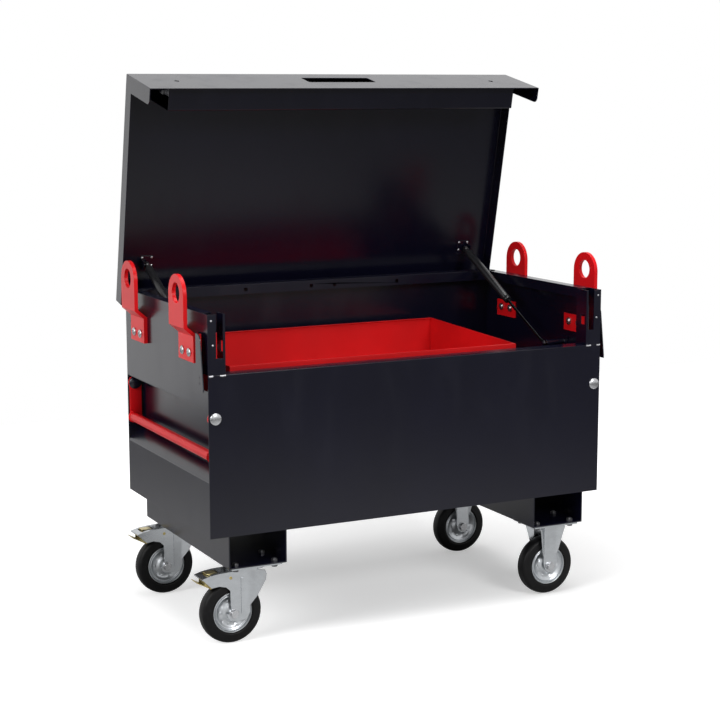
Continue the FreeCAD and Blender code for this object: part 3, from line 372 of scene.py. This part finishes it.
def dress(node, material, sheet=0.0025, fold=0.004, trim=0.0007, segments=3):
    """Stands for a sheet-metal node: its merged copy with rolled folds and broken edges."""
    mesh = merged_copy(node)
    mark_folds(mesh, sheet, fold, trim)
    piece = show(node + "_finish", mesh, material, 30.0, BODY_OF[node], (node,))
    bevel = piece.modifiers.new("rolled_edges", "BEVEL")
    bevel.limit_method = "WEIGHT"
    bevel.width = fold
    bevel.segments = segments
    bevel.miter_outer = "MITER_ARC"
    weighted = piece.modifiers.new("even_normals", "WEIGHTED_NORMAL")
    weighted.keep_sharp = True


# Materials

class Signal:
    """A number in a material's graph: an expression on signals adds its Math nodes."""

    def __init__(self, graph, socket):
        self.graph = graph
        self.socket = socket

    def math(self, operation, other, swap=False):
        """A Math node of this signal and another signal or number."""
        pair = (other, self) if swap else (self, other)
        return self.graph.make("ShaderNodeMath", {"operation": operation}, {0: pair[0], 1: pair[1]})

    def __add__(self, other):
        return self.math("ADD", other)

    __radd__ = __add__

    def __sub__(self, other):
        return self.math("SUBTRACT", other)

    def __rsub__(self, other):
        return self.math("SUBTRACT", other, swap=True)

    def __mul__(self, other):
        return self.math("MULTIPLY", other)

    __rmul__ = __mul__

    def above(self, low, high):
        """0 below low, 1 above high, smooth between."""
        return self.graph.make("ShaderNodeMapRange", {"interpolation_type": "SMOOTHSTEP"},
                               {"Value": self, "From Min": low, "From Max": high})


class Graph:
    """A node tree, whose nodes are all made by a single method."""

    def __init__(self, tree):
        self.tree = tree

    def make(self, kind, settings=None, inputs=None, output=0):
        """Adds a node: settings first, then the values or links of its sockets."""
        node = self.tree.nodes.new(kind)
        for key, value in (settings or {}).items():
            setattr(node, key, value)
        for key, value in (inputs or {}).items():
            if isinstance(value, Signal):
                self.tree.links.new(value.socket, node.inputs[key])
            else:
                node.inputs[key].default_value = value
        return Signal(self, node.outputs[output])

    def rays(self, kind):
        """1 for rays of a kind, such as Camera or Glossy."""
        return self.make("ShaderNodeLightPath", output="Is " + kind + " Ray")


class Finish(Graph):
    """One material and its Principled shader."""

    def __init__(self, name, **constants):
        self.material = bpy.data.materials.new(name)
        self.material.use_nodes = True
        super().__init__(self.material.node_tree)
        self.shader = self.tree.nodes["Principled BSDF"]
        for socket, value in constants.items():
            self.shader.inputs[socket.replace("_", " ")].default_value = value

    def place(self, scale):
        """Object coordinates, stretched by scale."""
        here = self.make("ShaderNodeTexCoord", output="Object")
        return self.make("ShaderNodeMapping", None, {"Vector": here, "Scale": scale})

    def noise(self, scale, detail, stretch=(1.0, 1.0, 1.0)):
        """Cloudy pattern from 0 to 1, finer with scale, drawn out where stretch is small."""
        return self.make("ShaderNodeTexNoise", None, {"Vector": self.place(stretch), "Scale": scale,
                                                      "Detail": detail, "Roughness": 0.55})

    def blend(self, factor, first, second):
        """Colour between two colours."""
        return self.make("ShaderNodeMix", {"data_type": "RGBA"}, {0: factor, 6: first, 7: second}, output=2)

    def feed(self, socket, signal):
        """Links a signal to a socket of the shader."""
        self.tree.links.new(signal.socket, self.shader.inputs[socket])

    def bump(self, height, strength, distance):
        """Roughens the surface by a height that reaches a distance in metres."""
        inputs = {"Strength": strength, "Distance": distance, "Height": height}
        self.feed("Normal", self.make("ShaderNodeBump", None, inputs))


def rgba(colour, gain=1.0):
    """Colour with its alpha, made paler or darker by a gain."""
    return (colour[0] * gain, colour[1] * gain, colour[2] * gain, 1.0)


def powder_coat(name, colour, roughness, specular):
    """Baked powder coat: a faint cloud in its colour, orange peel on it, handling marks in its gloss."""
    g = Finish(name, Specular_IOR_Level=specular)
    cloud = g.noise(3.0, 4.0)
    grain = g.noise(900.0, 2.0)
    g.feed("Base Color", g.blend(cloud.above(0.3, 0.7), rgba(colour, 0.88), rgba(colour, 1.14)))
    smears = g.noise(14.0, 5.0, stretch=(1.0, 1.0, 0.35)).above(0.45, 0.75)
    g.feed("Roughness", roughness + smears * 0.05 + grain * 0.04)
    g.bump(g.noise(420.0, 2.0), 0.05, 0.0004)
    return g.material


def plated_steel(name, colour, roughness, streak, bump=0.04):
    """Zinc plate: crystalline cloud and fine rolling streaks in colour and gloss."""
    g = Finish(name, Metallic=1.0)
    cloud = g.noise(60.0, 5.0)
    streaks = g.noise(180.0, 3.0, stretch=streak)
    mask = cloud * 0.6 + streaks * 0.4
    g.feed("Base Color", g.blend(mask.above(0.35, 0.65), rgba(colour, 0.9), rgba(colour, 1.0)))
    g.feed("Roughness", roughness + mask * 0.1)
    g.bump(streaks, bump, 0.0003)
    return g.material


def toned_zinc(name, colour, tint, roughness):
    """Yellow passivated zinc: the tint pools in iridescent patches over the plate."""
    g = Finish(name, Metallic=1.0)
    patches = g.noise(45.0, 4.0).above(0.4, 0.66)
    g.feed("Base Color", g.blend(patches, rgba(colour), rgba(tint)))
    g.feed("Roughness", roughness + patches * 0.1)
    return g.material


def rubber(name, colour, roughness):
    """Black rubber: a fine matt grain with scuffed paler patches."""
    g = Finish(name, Specular_IOR_Level=0.16)
    scuffs = g.noise(70.0, 6.0).above(0.5, 0.72)
    grain = g.noise(800.0, 2.0)
    g.feed("Base Color", g.blend(scuffs, rgba(colour), rgba(colour, 1.7)))
    g.feed("Roughness", roughness + scuffs * 0.12)
    g.bump(grain, 0.12, 0.0004)
    return g.material


def enamel(name, colour, roughness):
    """Smooth black enamel of a gas strut, with faint drawn lines in its gloss."""
    g = Finish(name, Specular_IOR_Level=0.5)
    lines = g.noise(300.0, 2.0, stretch=(1.0, 0.2, 1.0))
    g.feed("Base Color", g.blend(lines, rgba(colour, 0.85), rgba(colour, 1.15)))
    g.feed("Roughness", roughness + lines * 0.06)
    return g.material


def box_settings():
    """The values of the sidebar panel."""
    return bpy.context.scene.jobsite_box


def floor_material():
    """White floor that keeps the shadow: for the camera it glows, more with distance from the box."""
    g = Finish("studio_floor", Roughness=0.9, Specular_IOR_Level=0.1)
    cloud = g.noise(0.7, 2.0)
    g.feed("Base Color", g.blend(cloud, (0.8, 0.8, 0.8, 1.0), (0.82, 0.82, 0.82, 1.0)))
    here = g.make("ShaderNodeTexCoord", output="Object")
    middle = g.make("ShaderNodeVectorMath", {"operation": "SUBTRACT"}, {0: here, 1: GLOW_MIDDLE})
    away = g.make("ShaderNodeVectorMath", {"operation": "LENGTH"}, {0: middle}, output="Value")
    g.shader.inputs["Emission Strength"].default_value = 1.0
    glow = g.blend(away.above(*GLOW_REACH), (GLOW_LEAST, GLOW_LEAST, GLOW_LEAST, 1.0), (1.0, 1.0, 1.0, 1.0))
    g.feed("Emission Color", g.blend(g.rays("Camera"), (0.0, 0.0, 0.0, 1.0), glow))
    return g.material


FINISHES = {}


def finish(kind):
    """One of the box's materials, made once from the panel's colours."""
    if kind not in FINISHES:
        look = box_settings()
        makers = {
            "black_coat": lambda: powder_coat("blue_black_coat", look.black, 0.19, 0.46),
            "red_coat": lambda: powder_coat("red_coat", look.red, 0.3, 0.2),
            "handle_red": lambda: powder_coat("handle_red_coat", look.red, 0.28, 0.2),
            "tray_red": lambda: powder_coat("tray_red_coat", look.tray_red, 0.36, 0.25),
            "bright_zinc": lambda: plated_steel("bright_zinc", look.zinc, 0.22, (1.0, 1.0, 0.2)),
            "castor_zinc": lambda: plated_steel("castor_zinc", look.castor_zinc, 0.2,
                                                (0.25, 1.0, 1.0), 0.08),
            "rim_zinc": lambda: plated_steel("rim_zinc", look.castor_zinc, 0.3, (1.0, 0.3, 1.0), 0.06),
            # painted shade: the castor plate bolts and nuts are zinc darkened to a tenth for the shade inside the
            # skid
            "dark_zinc": lambda: plated_steel("dark_zinc", look.dark_zinc, 0.35, (1.0, 1.0, 0.2)),
            "yellow_zinc": lambda: toned_zinc("yellow_zinc", look.yellow_zinc, look.amber_zinc, 0.28),
            # painted shade: the strut rods are coloured near black for the shade they sit in
            "rod_black": lambda: plated_steel("rod_black", look.rod, 0.08, (1.0, 0.2, 0.2), 0.01),
            "strut_black": lambda: enamel("strut_enamel", look.strut, 0.25),
            "lock_steel": lambda: plated_steel("lock_steel", look.lock_steel, 0.4, (0.2, 1.0, 1.0)),
            "buffer_rubber": lambda: rubber("buffer_rubber", look.rubber, 0.6),
            "tyre_rubber": lambda: rubber("tyre_rubber", look.rubber, 0.42),
        }
        FINISHES[kind] = makers[kind]()
    return FINISHES[kind]


def dress_all(nodes, **choices):
    """Dresses several nodes alike, each in the material of its slot."""
    for node in nodes:
        dress(node, finish(SLOT_OF[node]), **choices)


def piece_for(name, parts, node, material=None, sharp=35.0):
    """New piece that stands for a node and takes its body and the material of its slot."""
    new_piece(name, parts, material or finish(SLOT_OF[node]), BODY_OF[node], sharp, (node,))


# The panel's values and the pieces

def swatch(name, description, colour):
    """A colour in the sidebar panel."""
    return bpy.props.FloatVectorProperty(name=name, description=description, subtype="COLOR",
                                         default=colour)


class BoxLook(bpy.types.PropertyGroup):
    """Colours and sizes that a user would change."""
    black: swatch("Black", "Body and lid coat", (0.003, 0.003, 0.0105))
    red: swatch("Red", "Lug and handle coat", (0.74, 0.008, 0.012))
    tray_red: swatch("Tray red", "Tool tray coat", (0.6, 0.008, 0.01))
    zinc: swatch("Bright zinc", "Bolts and axles", (0.5, 0.505, 0.52))
    # painted shade: the dark zinc colour stands in for the shade on the castor plate bolts and nuts
    dark_zinc: swatch("Dark zinc", "Castor plate bolts", (0.1, 0.1, 0.105))
    castor_zinc: swatch("Castor zinc", "Pressed castor steel", (0.5, 0.52, 0.54))
    yellow_zinc: swatch("Yellow zinc", "Passivated pedal", (0.52, 0.44, 0.2))
    amber_zinc: swatch("Amber zinc", "Patches on the pedal", (0.36, 0.26, 0.09))
    # painted shade: near black rod colour standing in for the shade on the strut rods
    rod: swatch("Rod", "Strut rods", (0.05, 0.05, 0.055))
    strut: swatch("Strut", "Gas cylinders", (0.012, 0.012, 0.014))
    lock_steel: swatch("Lock steel", "Lock bodies and weld beads", (0.45, 0.45, 0.47))
    rubber: swatch("Rubber", "Tyres and stops", (0.004, 0.0038, 0.0042))
    weld_size: bpy.props.FloatProperty(name="Plug weld", description="Radius of a plug weld", unit="LENGTH",
                                       default=0.0026)


class BodySheets(bpy.types.Operator):
    """Folded sheets of the body, with rolled bends"""
    bl_idname = "jobsite.body_sheets"
    bl_label = "Body sheets"

    def execute(self, context):
        dress_all(["floor_panel", "front_panel", "rear_panel", "rear_rail", "tray_runners"])
        for side in SIDES:
            dress_all(["end_wall_" + side, "upper_end_plate_" + side, "front_post_" + side])
            dress("skid_" + side, finish("black_coat"), sheet=0.003, fold=0.006)
        return {"FINISHED"}


class LidSheets(bpy.types.Operator):
    """Lid, lock cover and lock bodies"""
    bl_idname = "jobsite.lid_sheets"
    bl_label = "Lid"

    def execute(self, context):
        dress_all(["lid_shell"])
        dress("lock_cover", finish("black_coat"), sheet=0.0015, fold=0.003)
        dress("lock_cases", finish("lock_steel"), sheet=0.002, fold=0.0015)
        for side in SIDES:
            dress("deadbolt_" + side, finish(SLOT_OF["deadbolt_" + side]), sheet=0.0, fold=0.0008)
        return {"FINISHED"}


class LidHinge(bpy.types.Operator):
    """Two leaves of the piano hinge"""
    bl_idname = "jobsite.lid_hinge"
    bl_label = "Hinge"

    def execute(self, context):
        dress_all(["hinge_leaf_body", "hinge_leaf_lid"], sheet=0.0, fold=0.0003, segments=1)
        return {"FINISHED"}


class Lugs(bpy.types.Operator):
    """Lifting lugs with rounded rims, and their backing plates"""
    bl_idname = "jobsite.lugs"
    bl_label = "Lifting lugs"

    def execute(self, context):
        for end, side in PLACES:
            dress("lifting_lug_" + end + "_" + side, finish("red_coat"), sheet=0.0, fold=0.0012)
        dress("lug_backing_plates", finish("red_coat"), sheet=0.0, fold=0.0008)
        return {"FINISHED"}


class LugFasteners(bpy.types.Operator):
    """Domed bolts outside, cap nuts inside"""
    bl_idname = "jobsite.lug_fasteners"
    bl_label = "Lug fasteners"

    def execute(self, context):
        head, shank, socket = 0.006, 0.006, 0.0045
        nut, cap = 0.011, 0.0082
        bolts = []
        for low, high in islands("lug_bolts"):
            side, inner, outer = near_and_far(low, high, 0)
            _, y, z = (low + high) / 2.0
            seat = outer - head
            radius = (high[1] - low[1]) / 2.0
            bolts.append(domed_head((side * seat, y, z), (side, 0, 0), radius, head, socket))
            bolts.append(turned(rounded_disc(shank, seat - inner, 0.0006), (side * inner, y, z),
                                (side, 0, 0), 24))
        piece_for("lug_dome_bolts", bolts, "lug_bolts")
        nuts = []
        for low, high in islands("lug_nuts"):
            side, _, seat = near_and_far(low, high, 0)
            _, y, z = (low + high) / 2.0
            height = high[0] - low[0]
            nuts.append(hexagon_head((side * seat, y, z), (-side, 0, 0), nut, height * 0.62, 0.0006))
            nuts.append(domed_head((side * (seat - height * 0.55), y, z), (-side, 0, 0), cap,
                                   height * 0.45))
        piece_for("lug_cap_nuts", nuts, "lug_nuts")
        return {"FINISHED"}


class LiftHandles(bpy.types.Operator):
    """Drop handles: flat arms with rounded ends, a round bar and its weld beads"""
    bl_idname = "jobsite.lift_handles"
    bl_label = "Lift handles"

    def execute(self, context):
        sheet, rim, corner, step = 0.006, 0.0008, 0.007, 0.003
        bar_radius, bead_size = 0.0125, 0.0028
        for side, sign in SIDES.items():
            node = "lift_handle_" + side
            low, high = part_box(node)
            pivot = np.array(JOINTS[node + "_pivot"]["pos_m"])
            bar_x, bar_z = sign * HANDLE_BAR[0], HANDLE_BAR[1]
            half = high[2] - pivot[2]
            outer = half - step
            lowest = -math.degrees(math.acos(outer / half))
            top = arc((0.0, pivot[2]), half, lowest, 180.0, 29)
            left = arc((-half + corner, low[2] + corner), corner, 180.0, 270.0, 6)
            right = arc((outer - corner, low[2] + corner), corner, 270.0, 360.0, 6)
            outline = np.concatenate([top, left, right]) * [sign, 1.0]
            reach = high[1] - sheet
            bead = np.concatenate([[[bar_radius * 0.9, -0.001]],
                                   arc((bar_radius, 0.0), bead_size, 90.0, 0.0, 5)])
            parts = []
            for end, start in ((-1, -high[1]), (1, reach)):
                parts.append(slab(outline, (pivot[0], start, 0.0), (1, 0, 0), (0, 0, 1), (0, 1, 0),
                                  sheet, rim))
                parts.append(turned(bead, (bar_x, end * reach, bar_z), (0, -end, 0), 32))
            path = np.stack([np.full(9, bar_x), np.linspace(-reach, reach, 9), np.full(9, bar_z)], axis=-1)
            parts.append(swept_tube(path, bar_radius, 36))
            piece_for(node + "_frame", parts, node)
        return {"FINISHED"}


class HandlePivots(bpy.types.Operator):
    """Domed pivot bolts, their washers and the dark domed nuts"""
    bl_idname = "jobsite.handle_pivots"
    bl_label = "Handle pivots"

    def execute(self, context):
        head, shank, washer, bore = 0.006, 0.006, 0.003, 0.0061
        parts = []
        for low, high in islands("handle_pivot_bolts"):
            x, _, z = (low + high) / 2.0
            end, inner, outer = near_and_far(low, high, 1)
            radius = (high[2] - low[2]) / 2.0
            if outer - inner > washer:
                parts.append(domed_head((x, end * (outer - head), z), (0, end, 0), radius, head))
                parts.append(turned(rounded_disc(shank, outer - head - inner, 0.0006), (x, end * inner, z),
                                    (0, end, 0), 24))
            else:
                ring = rounded_disc(radius, outer - inner, 0.0004, inner=bore)
                parts.append(turned(ring, (x, end * outer, z), (0, -end, 0), 40))
        piece_for("handle_dome_bolts", parts, "handle_pivot_bolts")
        caps = []
        for low, high in islands("handle_pivot_caps"):
            x, _, z = (low + high) / 2.0
            end, inner, seat = near_and_far(low, high, 1)
            radius = (high[2] - low[2]) / 2.0
            caps.append(domed_head((x, end * seat, z), (0, -end, 0), radius, seat - inner))
        piece_for("handle_cap_nuts", caps, "handle_pivot_caps")
        return {"FINISHED"}


class ToolTray(bpy.types.Operator):
    """Red tool tray"""
    bl_idname = "jobsite.tool_tray"
    bl_label = "Tool tray"

    def execute(self, context):
        dress("tool_tray", finish("tray_red"), sheet=0.0015, fold=0.0025)
        return {"FINISHED"}


class GasStruts(bpy.types.Operator):
    """Gas struts: enamelled cylinder with a crimped mouth, a rod darkened as painted shade, flat eyes, brackets
    with screws
    """
    bl_idname = "jobsite.gas_struts"
    bl_label = "Gas struts"

    def execute(self, context):
        radius, neck, rim = 0.011, 0.018, 0.0012
        for side in SIDES:
            foot = np.array(JOINTS["strut_foot_" + side]["pos_m"])
            along = np.array(JOINTS["strut_stroke_" + side]["axis"])
            square = np.cross((1, 0, 0), along)
            low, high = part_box("strut_rod_" + side)
            thick = high[0] - low[0]
            tube_start, tube_end = reach_along("strut_cylinder_" + side, foot, along)
            eye_start, shaft_end = reach_along("strut_rod_" + side, foot, along)
            head = tube_end + eye_start
            tube = head - neck - tube_start
            eye = arc((0.0, 0.0), -eye_start, 0.0, 360.0, 41)[:-1]
            half = np.array([thick / 2.0, 0.0, 0.0])
            profile = np.concatenate([[[0.0041, 0.0]], arc((radius - 0.003, 0.003), 0.003, -90.0, 0.0, 5),
                                      [[radius, 0.012], [radius - 0.0007, 0.0135], [radius, 0.015],
                                       [radius, tube - 0.006]],
                                      arc((radius - 0.004, tube - 0.004), 0.004, 0.0, 90.0, 5),
                                      [[0.0055, tube], [0.0055, tube + 0.013], [0.0, tube + 0.013]]])
            parts = [turned(profile, foot + along * tube_start, along, 40),
                     slab(eye, foot + along * head - half, along, square, (1, 0, 0), thick, rim)]
            piece_for("gas_cylinder_" + side, parts, "strut_cylinder_" + side)
            shaft = [[0.0, 0.004], [0.0065, 0.004], [0.0065, 0.014], [0.0055, 0.016], [0.004, 0.0165],
                     [0.004, shaft_end], [0.0, shaft_end]]
            parts = [turned(shaft, foot, along, 32),
                     slab(eye, foot - half, along, square, (1, 0, 0), thick, rim)]
            piece_for("polished_rod_" + side, parts, "strut_rod_" + side)
        for node in ("strut_brackets_body", "strut_brackets_lid"):
            dress(node, finish(SLOT_OF[node]), sheet=0.0, fold=0.0006)
        down = np.subtract(opened((0.0, 0.0, -1.0)), opened((0.0, 0.0, 0.0)))
        screws = [domed_head(opened((sign * x, y, BRACKET_FACE)), down, 0.0034, 0.0026)
                  for sign in SIDES.values() for x, y in BRACKET_SCREWS]
        new_piece("bracket_screws", screws, finish("bright_zinc"), "lid")
        return {"FINISHED"}


class Tyres(bpy.types.Operator):
    """Rubber tyres: crowned tread, rounded shoulders, beads beside the rim"""
    bl_idname = "jobsite.tyres"
    bl_label = "Tyres"

    def execute(self, context):
        shoulder, crown = 0.011, 0.0009
        for end, side in PLACES:
            node = "tyre_" + end + "_" + side
            low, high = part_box(node)
            radius = (high[2] - low[2]) / 2.0
            half = (high[1] - low[1]) / 2.0
            wall = half - 0.0006
            turn_in = arc((radius - crown - shoulder, wall - shoulder), shoulder, 0.0, 75.0, 9)[1:]
            tread = [[radius, 0.0], [radius - 0.0002, 0.004], [radius - crown, half - shoulder]]
            bead = [[0.0605, wall - 0.0008], [0.0585, wall], [0.056, wall], [0.0535, wall - 0.0016],
                    [0.0525, wall - 0.003], [0.0503, wall - 0.005]]
            right = np.concatenate([tread, turn_in, bead])
            right[:, 1] = np.minimum(right[:, 1], wall)
            left = right[::-1] * [1.0, -1.0]
            loop = np.concatenate([right, left, right[:1]])
            parts = [turned(loop, (low + high) / 2.0, (0, 1, 0), 96)]
            piece_for("tyre_rubber_" + end + "_" + side, parts, node, sharp=50.0)
        return {"FINISHED"}


class Rims(bpy.types.Operator):
    """Pressed rims: rolled flange, gutter, dished disc with stamped hollows, hub tube"""
    bl_idname = "jobsite.rims"
    bl_label = "Wheel rims"

    def execute(self, context):
        lip, stud_ring = 0.019, 0.0305

        def stamp(radius, height, turn):
            """Five hollows a side: a bell over the radius times the cube of the cosine of five turns."""
            hollow = np.exp(-((radius - 0.031) / 0.0042) ** 2) * np.maximum(np.cos(5.0 * turn), 0.0) ** 3
            return -np.sign(height) * 0.0022 * hollow

        for end, side in PLACES:
            node = "wheel_rim_" + end + "_" + side
            low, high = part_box(node)
            centre = (low + high) / 2.0
            radius = (high[2] - low[2]) / 2.0
            hub = (high[1] - low[1]) / 2.0
            right = np.array([[0.0062, hub], [0.0095, hub], [0.0105, hub - 0.001], [0.0105, 0.0165],
                              [0.0125, 0.0155], [0.018, 0.0152], [0.021, 0.0142], [0.0235, 0.0112],
                              [0.027, 0.0098], [0.031, 0.0094], [0.035, 0.0098], [0.0385, 0.0112],
                              [0.041, 0.0138], [0.043, 0.0146], [0.0447, 0.0138], [0.046, 0.0122],
                              [0.0472, 0.0128], [0.0485, 0.0165], [0.0495, 0.0185], [radius - 0.0012, lip],
                              [radius, lip - 0.0008], [radius - 0.0006, lip - 0.0018], [0.0502, 0.0165]])
            loop = np.concatenate([right, right[::-1] * [1.0, -1.0], right[:1]])
            parts = [turned(loop, centre, (0, 1, 0), 120, stamp)]
            for face in (-1, 1):
                for step in range(5):
                    turn = math.radians(36.0 + 72.0 * step)
                    spot = Vector((stud_ring * math.cos(turn), face * 0.0092, stud_ring * math.sin(turn)))
                    parts.append(domed_head(centre + spot, (0, face, 0), 0.0034, 0.0018))
            piece_for("pressed_rim_" + end + "_" + side, parts, node, material=finish("rim_zinc"))
        return {"FINISHED"}


class CastorFrames(bpy.types.Operator):
    """Castor plates, swivel forks and rigid brackets"""
    bl_idname = "jobsite.castor_frames"
    bl_label = "Castor frames"

    def execute(self, context):
        for end in ENDS:
            for kind in ("swivel_plate_", "swivel_fork_", "rigid_bracket_"):
                dress(kind + end, finish("castor_zinc"), sheet=0.0, fold=0.0012)
        return {"FINISHED"}


class CastorFasteners(bpy.types.Operator):
    """Axle bolts with hexagon heads, plate bolts and their nuts"""
    bl_idname = "jobsite.castor_fasteners"
    bl_label = "Castor fasteners"

    def execute(self, context):
        head, head_radius, shank = 0.008, 0.0115, 0.006
        washer, washer_radius = 0.0015, 0.0125
        for node in ("rigid_axles", "swivel_axle_front", "swivel_axle_rear"):
            parts = []
            for low, high in islands(node):
                x, y, z = (low + high) / 2.0
                half = (high[1] - low[1]) / 2.0 - head
                for face in (-1, 1):
                    parts.append(turned(rounded_disc(washer_radius, washer, 0.0004), (x, y + face * half, z),
                                        (0, face, 0), 40))
                    parts.append(hexagon_head((x, y + face * (half + washer), z), (0, face, 0), head_radius,
                                              head - washer - 0.0001, 0.0008))
                parts.append(turned(rounded_disc(shank, 2 * half, 0.0005), (x, y - half, z), (0, 1, 0), 32))
            piece_for(node + "_hardware", parts, node)
        parts = []
        head, head_radius, shank, tallest_nut = 0.0064, 0.0088, 0.005, 0.012
        for low, high in islands("castor_bolts"):
            x, y, _ = (low + high) / 2.0
            height = high[2] - low[2]
            if height > tallest_nut:
                seat = (x, y, low[2] + head)
                parts.append(hexagon_head(seat, (0, 0, -1), head_radius, head - 0.0001, 0.0008))
                parts.append(turned(rounded_disc(shank, height - head, 0.0007), seat, (0, 0, 1), 24))
            else:
                parts.append(hexagon_head((x, y, low[2]), (0, 0, 1), head_radius, height, 0.0008))
        # the castor plate bolts and nuts take the darkened zinc, a painted shade for the skid's shadow
        piece_for("castor_bolt_set", parts, "castor_bolts", material=finish("dark_zinc"))
        return {"FINISHED"}


class BrakePedals(bpy.types.Operator):
    """Brake pedals"""
    bl_idname = "jobsite.brake_pedals"
    bl_label = "Brake pedals"

    def execute(self, context):
        for end in ENDS:
            dress("brake_pedal_" + end, finish("yellow_zinc"), sheet=0.0, fold=0.0008)
        return {"FINISHED"}


class Welds(bpy.types.Operator):
    """Plug welds on the front posts and two short beads at each post's foot"""
    bl_idname = "jobsite.welds"
    bl_label = "Welds"

    def execute(self, context):
        size = box_settings().weld_size
        for side, sign in SIDES.items():
            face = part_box("front_post_" + side)[0][1]
            parts = [domed_head((sign * x, face + 0.0003, z), (0, -1, 0), size, 0.0022)
                     for x, z in PLUG_WELDS]
            for x, half in POST_BEADS:
                path = [(sign * (x + step * half), face, POST_BEAD_HEIGHT - 0.0005 * (step == 0))
                        for step in (-1, 0, 1)]
                parts.append(swept_tube(path, 0.0023, 16))
            new_piece("post_welds_" + side, parts, finish("lock_steel"), "box_body")
        return {"FINISHED"}


class PlainFinishes(bpy.types.Operator):
    """Every node that is still shown as it was built takes the material of its slot"""
    bl_idname = "jobsite.plain_finishes"
    bl_label = "Plain finishes"

    def execute(self, context):
        for name, node in NODES.items():
            node.data.materials.clear()
            node.data.materials.append(finish(SLOT_OF[name]))
        return {"FINISHED"}


class Stage(bpy.types.Operator):
    """Pale floor, soft studio light and the camera"""
    bl_idname = "jobsite.stage"
    bl_label = "Stage"

    def execute(self, context):
        floor_z = CAD_BOX[0][2]
        corners = [(x, y, floor_z) for x, y in FLOOR_CORNERS]
        mesh = bpy.data.meshes.new("studio_floor")
        mesh.from_pydata(corners, [], [(0, 1, 2, 3)])
        floor = bpy.data.objects.new("studio_floor", mesh)
        context.scene.collection.objects.link(floor)
        mesh.materials.append(floor_material())
        for name, place, aim, size, power, spread in LAMPS:
            lamp = bpy.data.lights.new(name, "AREA")
            lamp.shape = "RECTANGLE"
            lamp.size, lamp.size_y = size
            lamp.energy = power
            lamp.spread = math.radians(spread)
            holder = bpy.data.objects.new(name, lamp)
            way = Vector(aim) - Vector(place)
            turn = way.to_track_quat("-Z", "Y").to_matrix().to_4x4()
            holder.matrix_world = Matrix.Translation(place) @ turn
            context.scene.collection.objects.link(holder)
        world = bpy.data.worlds.new("studio_air")
        world.use_nodes = True
        context.scene.world = world
        g = Graph(world.node_tree)
        seen = g.rays("Camera").math("MAXIMUM", g.rays("Glossy")).math("MAXIMUM", g.rays("Transmission"))
        strength = g.make("ShaderNodeMapRange", None, {"Value": seen, "To Min": AIR_LIGHT, "To Max": 1.0})
        air = g.tree.nodes["Background"]
        air.inputs["Color"].default_value = (1.0, 1.0, 1.0, 1.0)
        g.tree.links.new(strength.socket, air.inputs["Strength"])
        camera = bpy.data.cameras.new("photo_camera")
        camera.lens = CAMERA_LENS
        camera.sensor_width = 36.0
        camera.clip_end = 200.0
        holder = bpy.data.objects.new("photo_camera", camera)
        yaw, pitch, roll = (math.radians(v) for v in CAMERA_TURN)
        ahead = Vector((math.sin(yaw) * math.cos(pitch), math.cos(yaw) * math.cos(pitch), math.sin(pitch)))
        right = Vector((math.cos(yaw), -math.sin(yaw), 0.0))
        up = right.cross(ahead)
        turn = Matrix.Rotation(roll, 3, ahead)
        basis = Matrix((turn @ right, turn @ up, -ahead)).transposed().to_4x4()
        holder.matrix_world = Matrix.Translation(CAMERA_PLACE) @ basis
        context.scene.collection.objects.link(holder)
        context.scene.camera = holder
        context.scene.view_settings.view_transform = "Standard"
        return {"FINISHED"}


STEPS = [PlainFinishes, BodySheets, LidSheets, LidHinge, Lugs, LugFasteners, LiftHandles, HandlePivots,
         ToolTray, GasStruts, Tyres, Rims, CastorFrames, CastorFasteners, BrakePedals, Welds, Stage]


class BoxPanel(bpy.types.Panel):
    """Sidebar list of the box's pieces"""
    bl_label = "Jobsite Box"
    bl_idname = "JOBSITE_PT_box"
    bl_space_type = "VIEW_3D"
    bl_region_type = "UI"
    bl_category = "Jobsite Box"

    def draw(self, context):
        look = context.scene.jobsite_box
        for name in BoxLook.__annotations__:
            self.layout.prop(look, name)
        for step in STEPS:
            self.layout.operator(step.bl_idname)


CLASSES = [BoxLook, *STEPS, BoxPanel]


def register():
    for cls in CLASSES:
        bpy.utils.register_class(cls)
    bpy.types.Scene.jobsite_box = bpy.props.PointerProperty(type=BoxLook)


def unregister():
    del bpy.types.Scene.jobsite_box
    for cls in reversed(CLASSES):
        bpy.utils.unregister_class(cls)


def main():
    register()
    for step in STEPS:
        group, name = step.bl_idname.split(".")
        getattr(getattr(bpy.ops, group), name)()


if __name__ == "__main__":
    main()
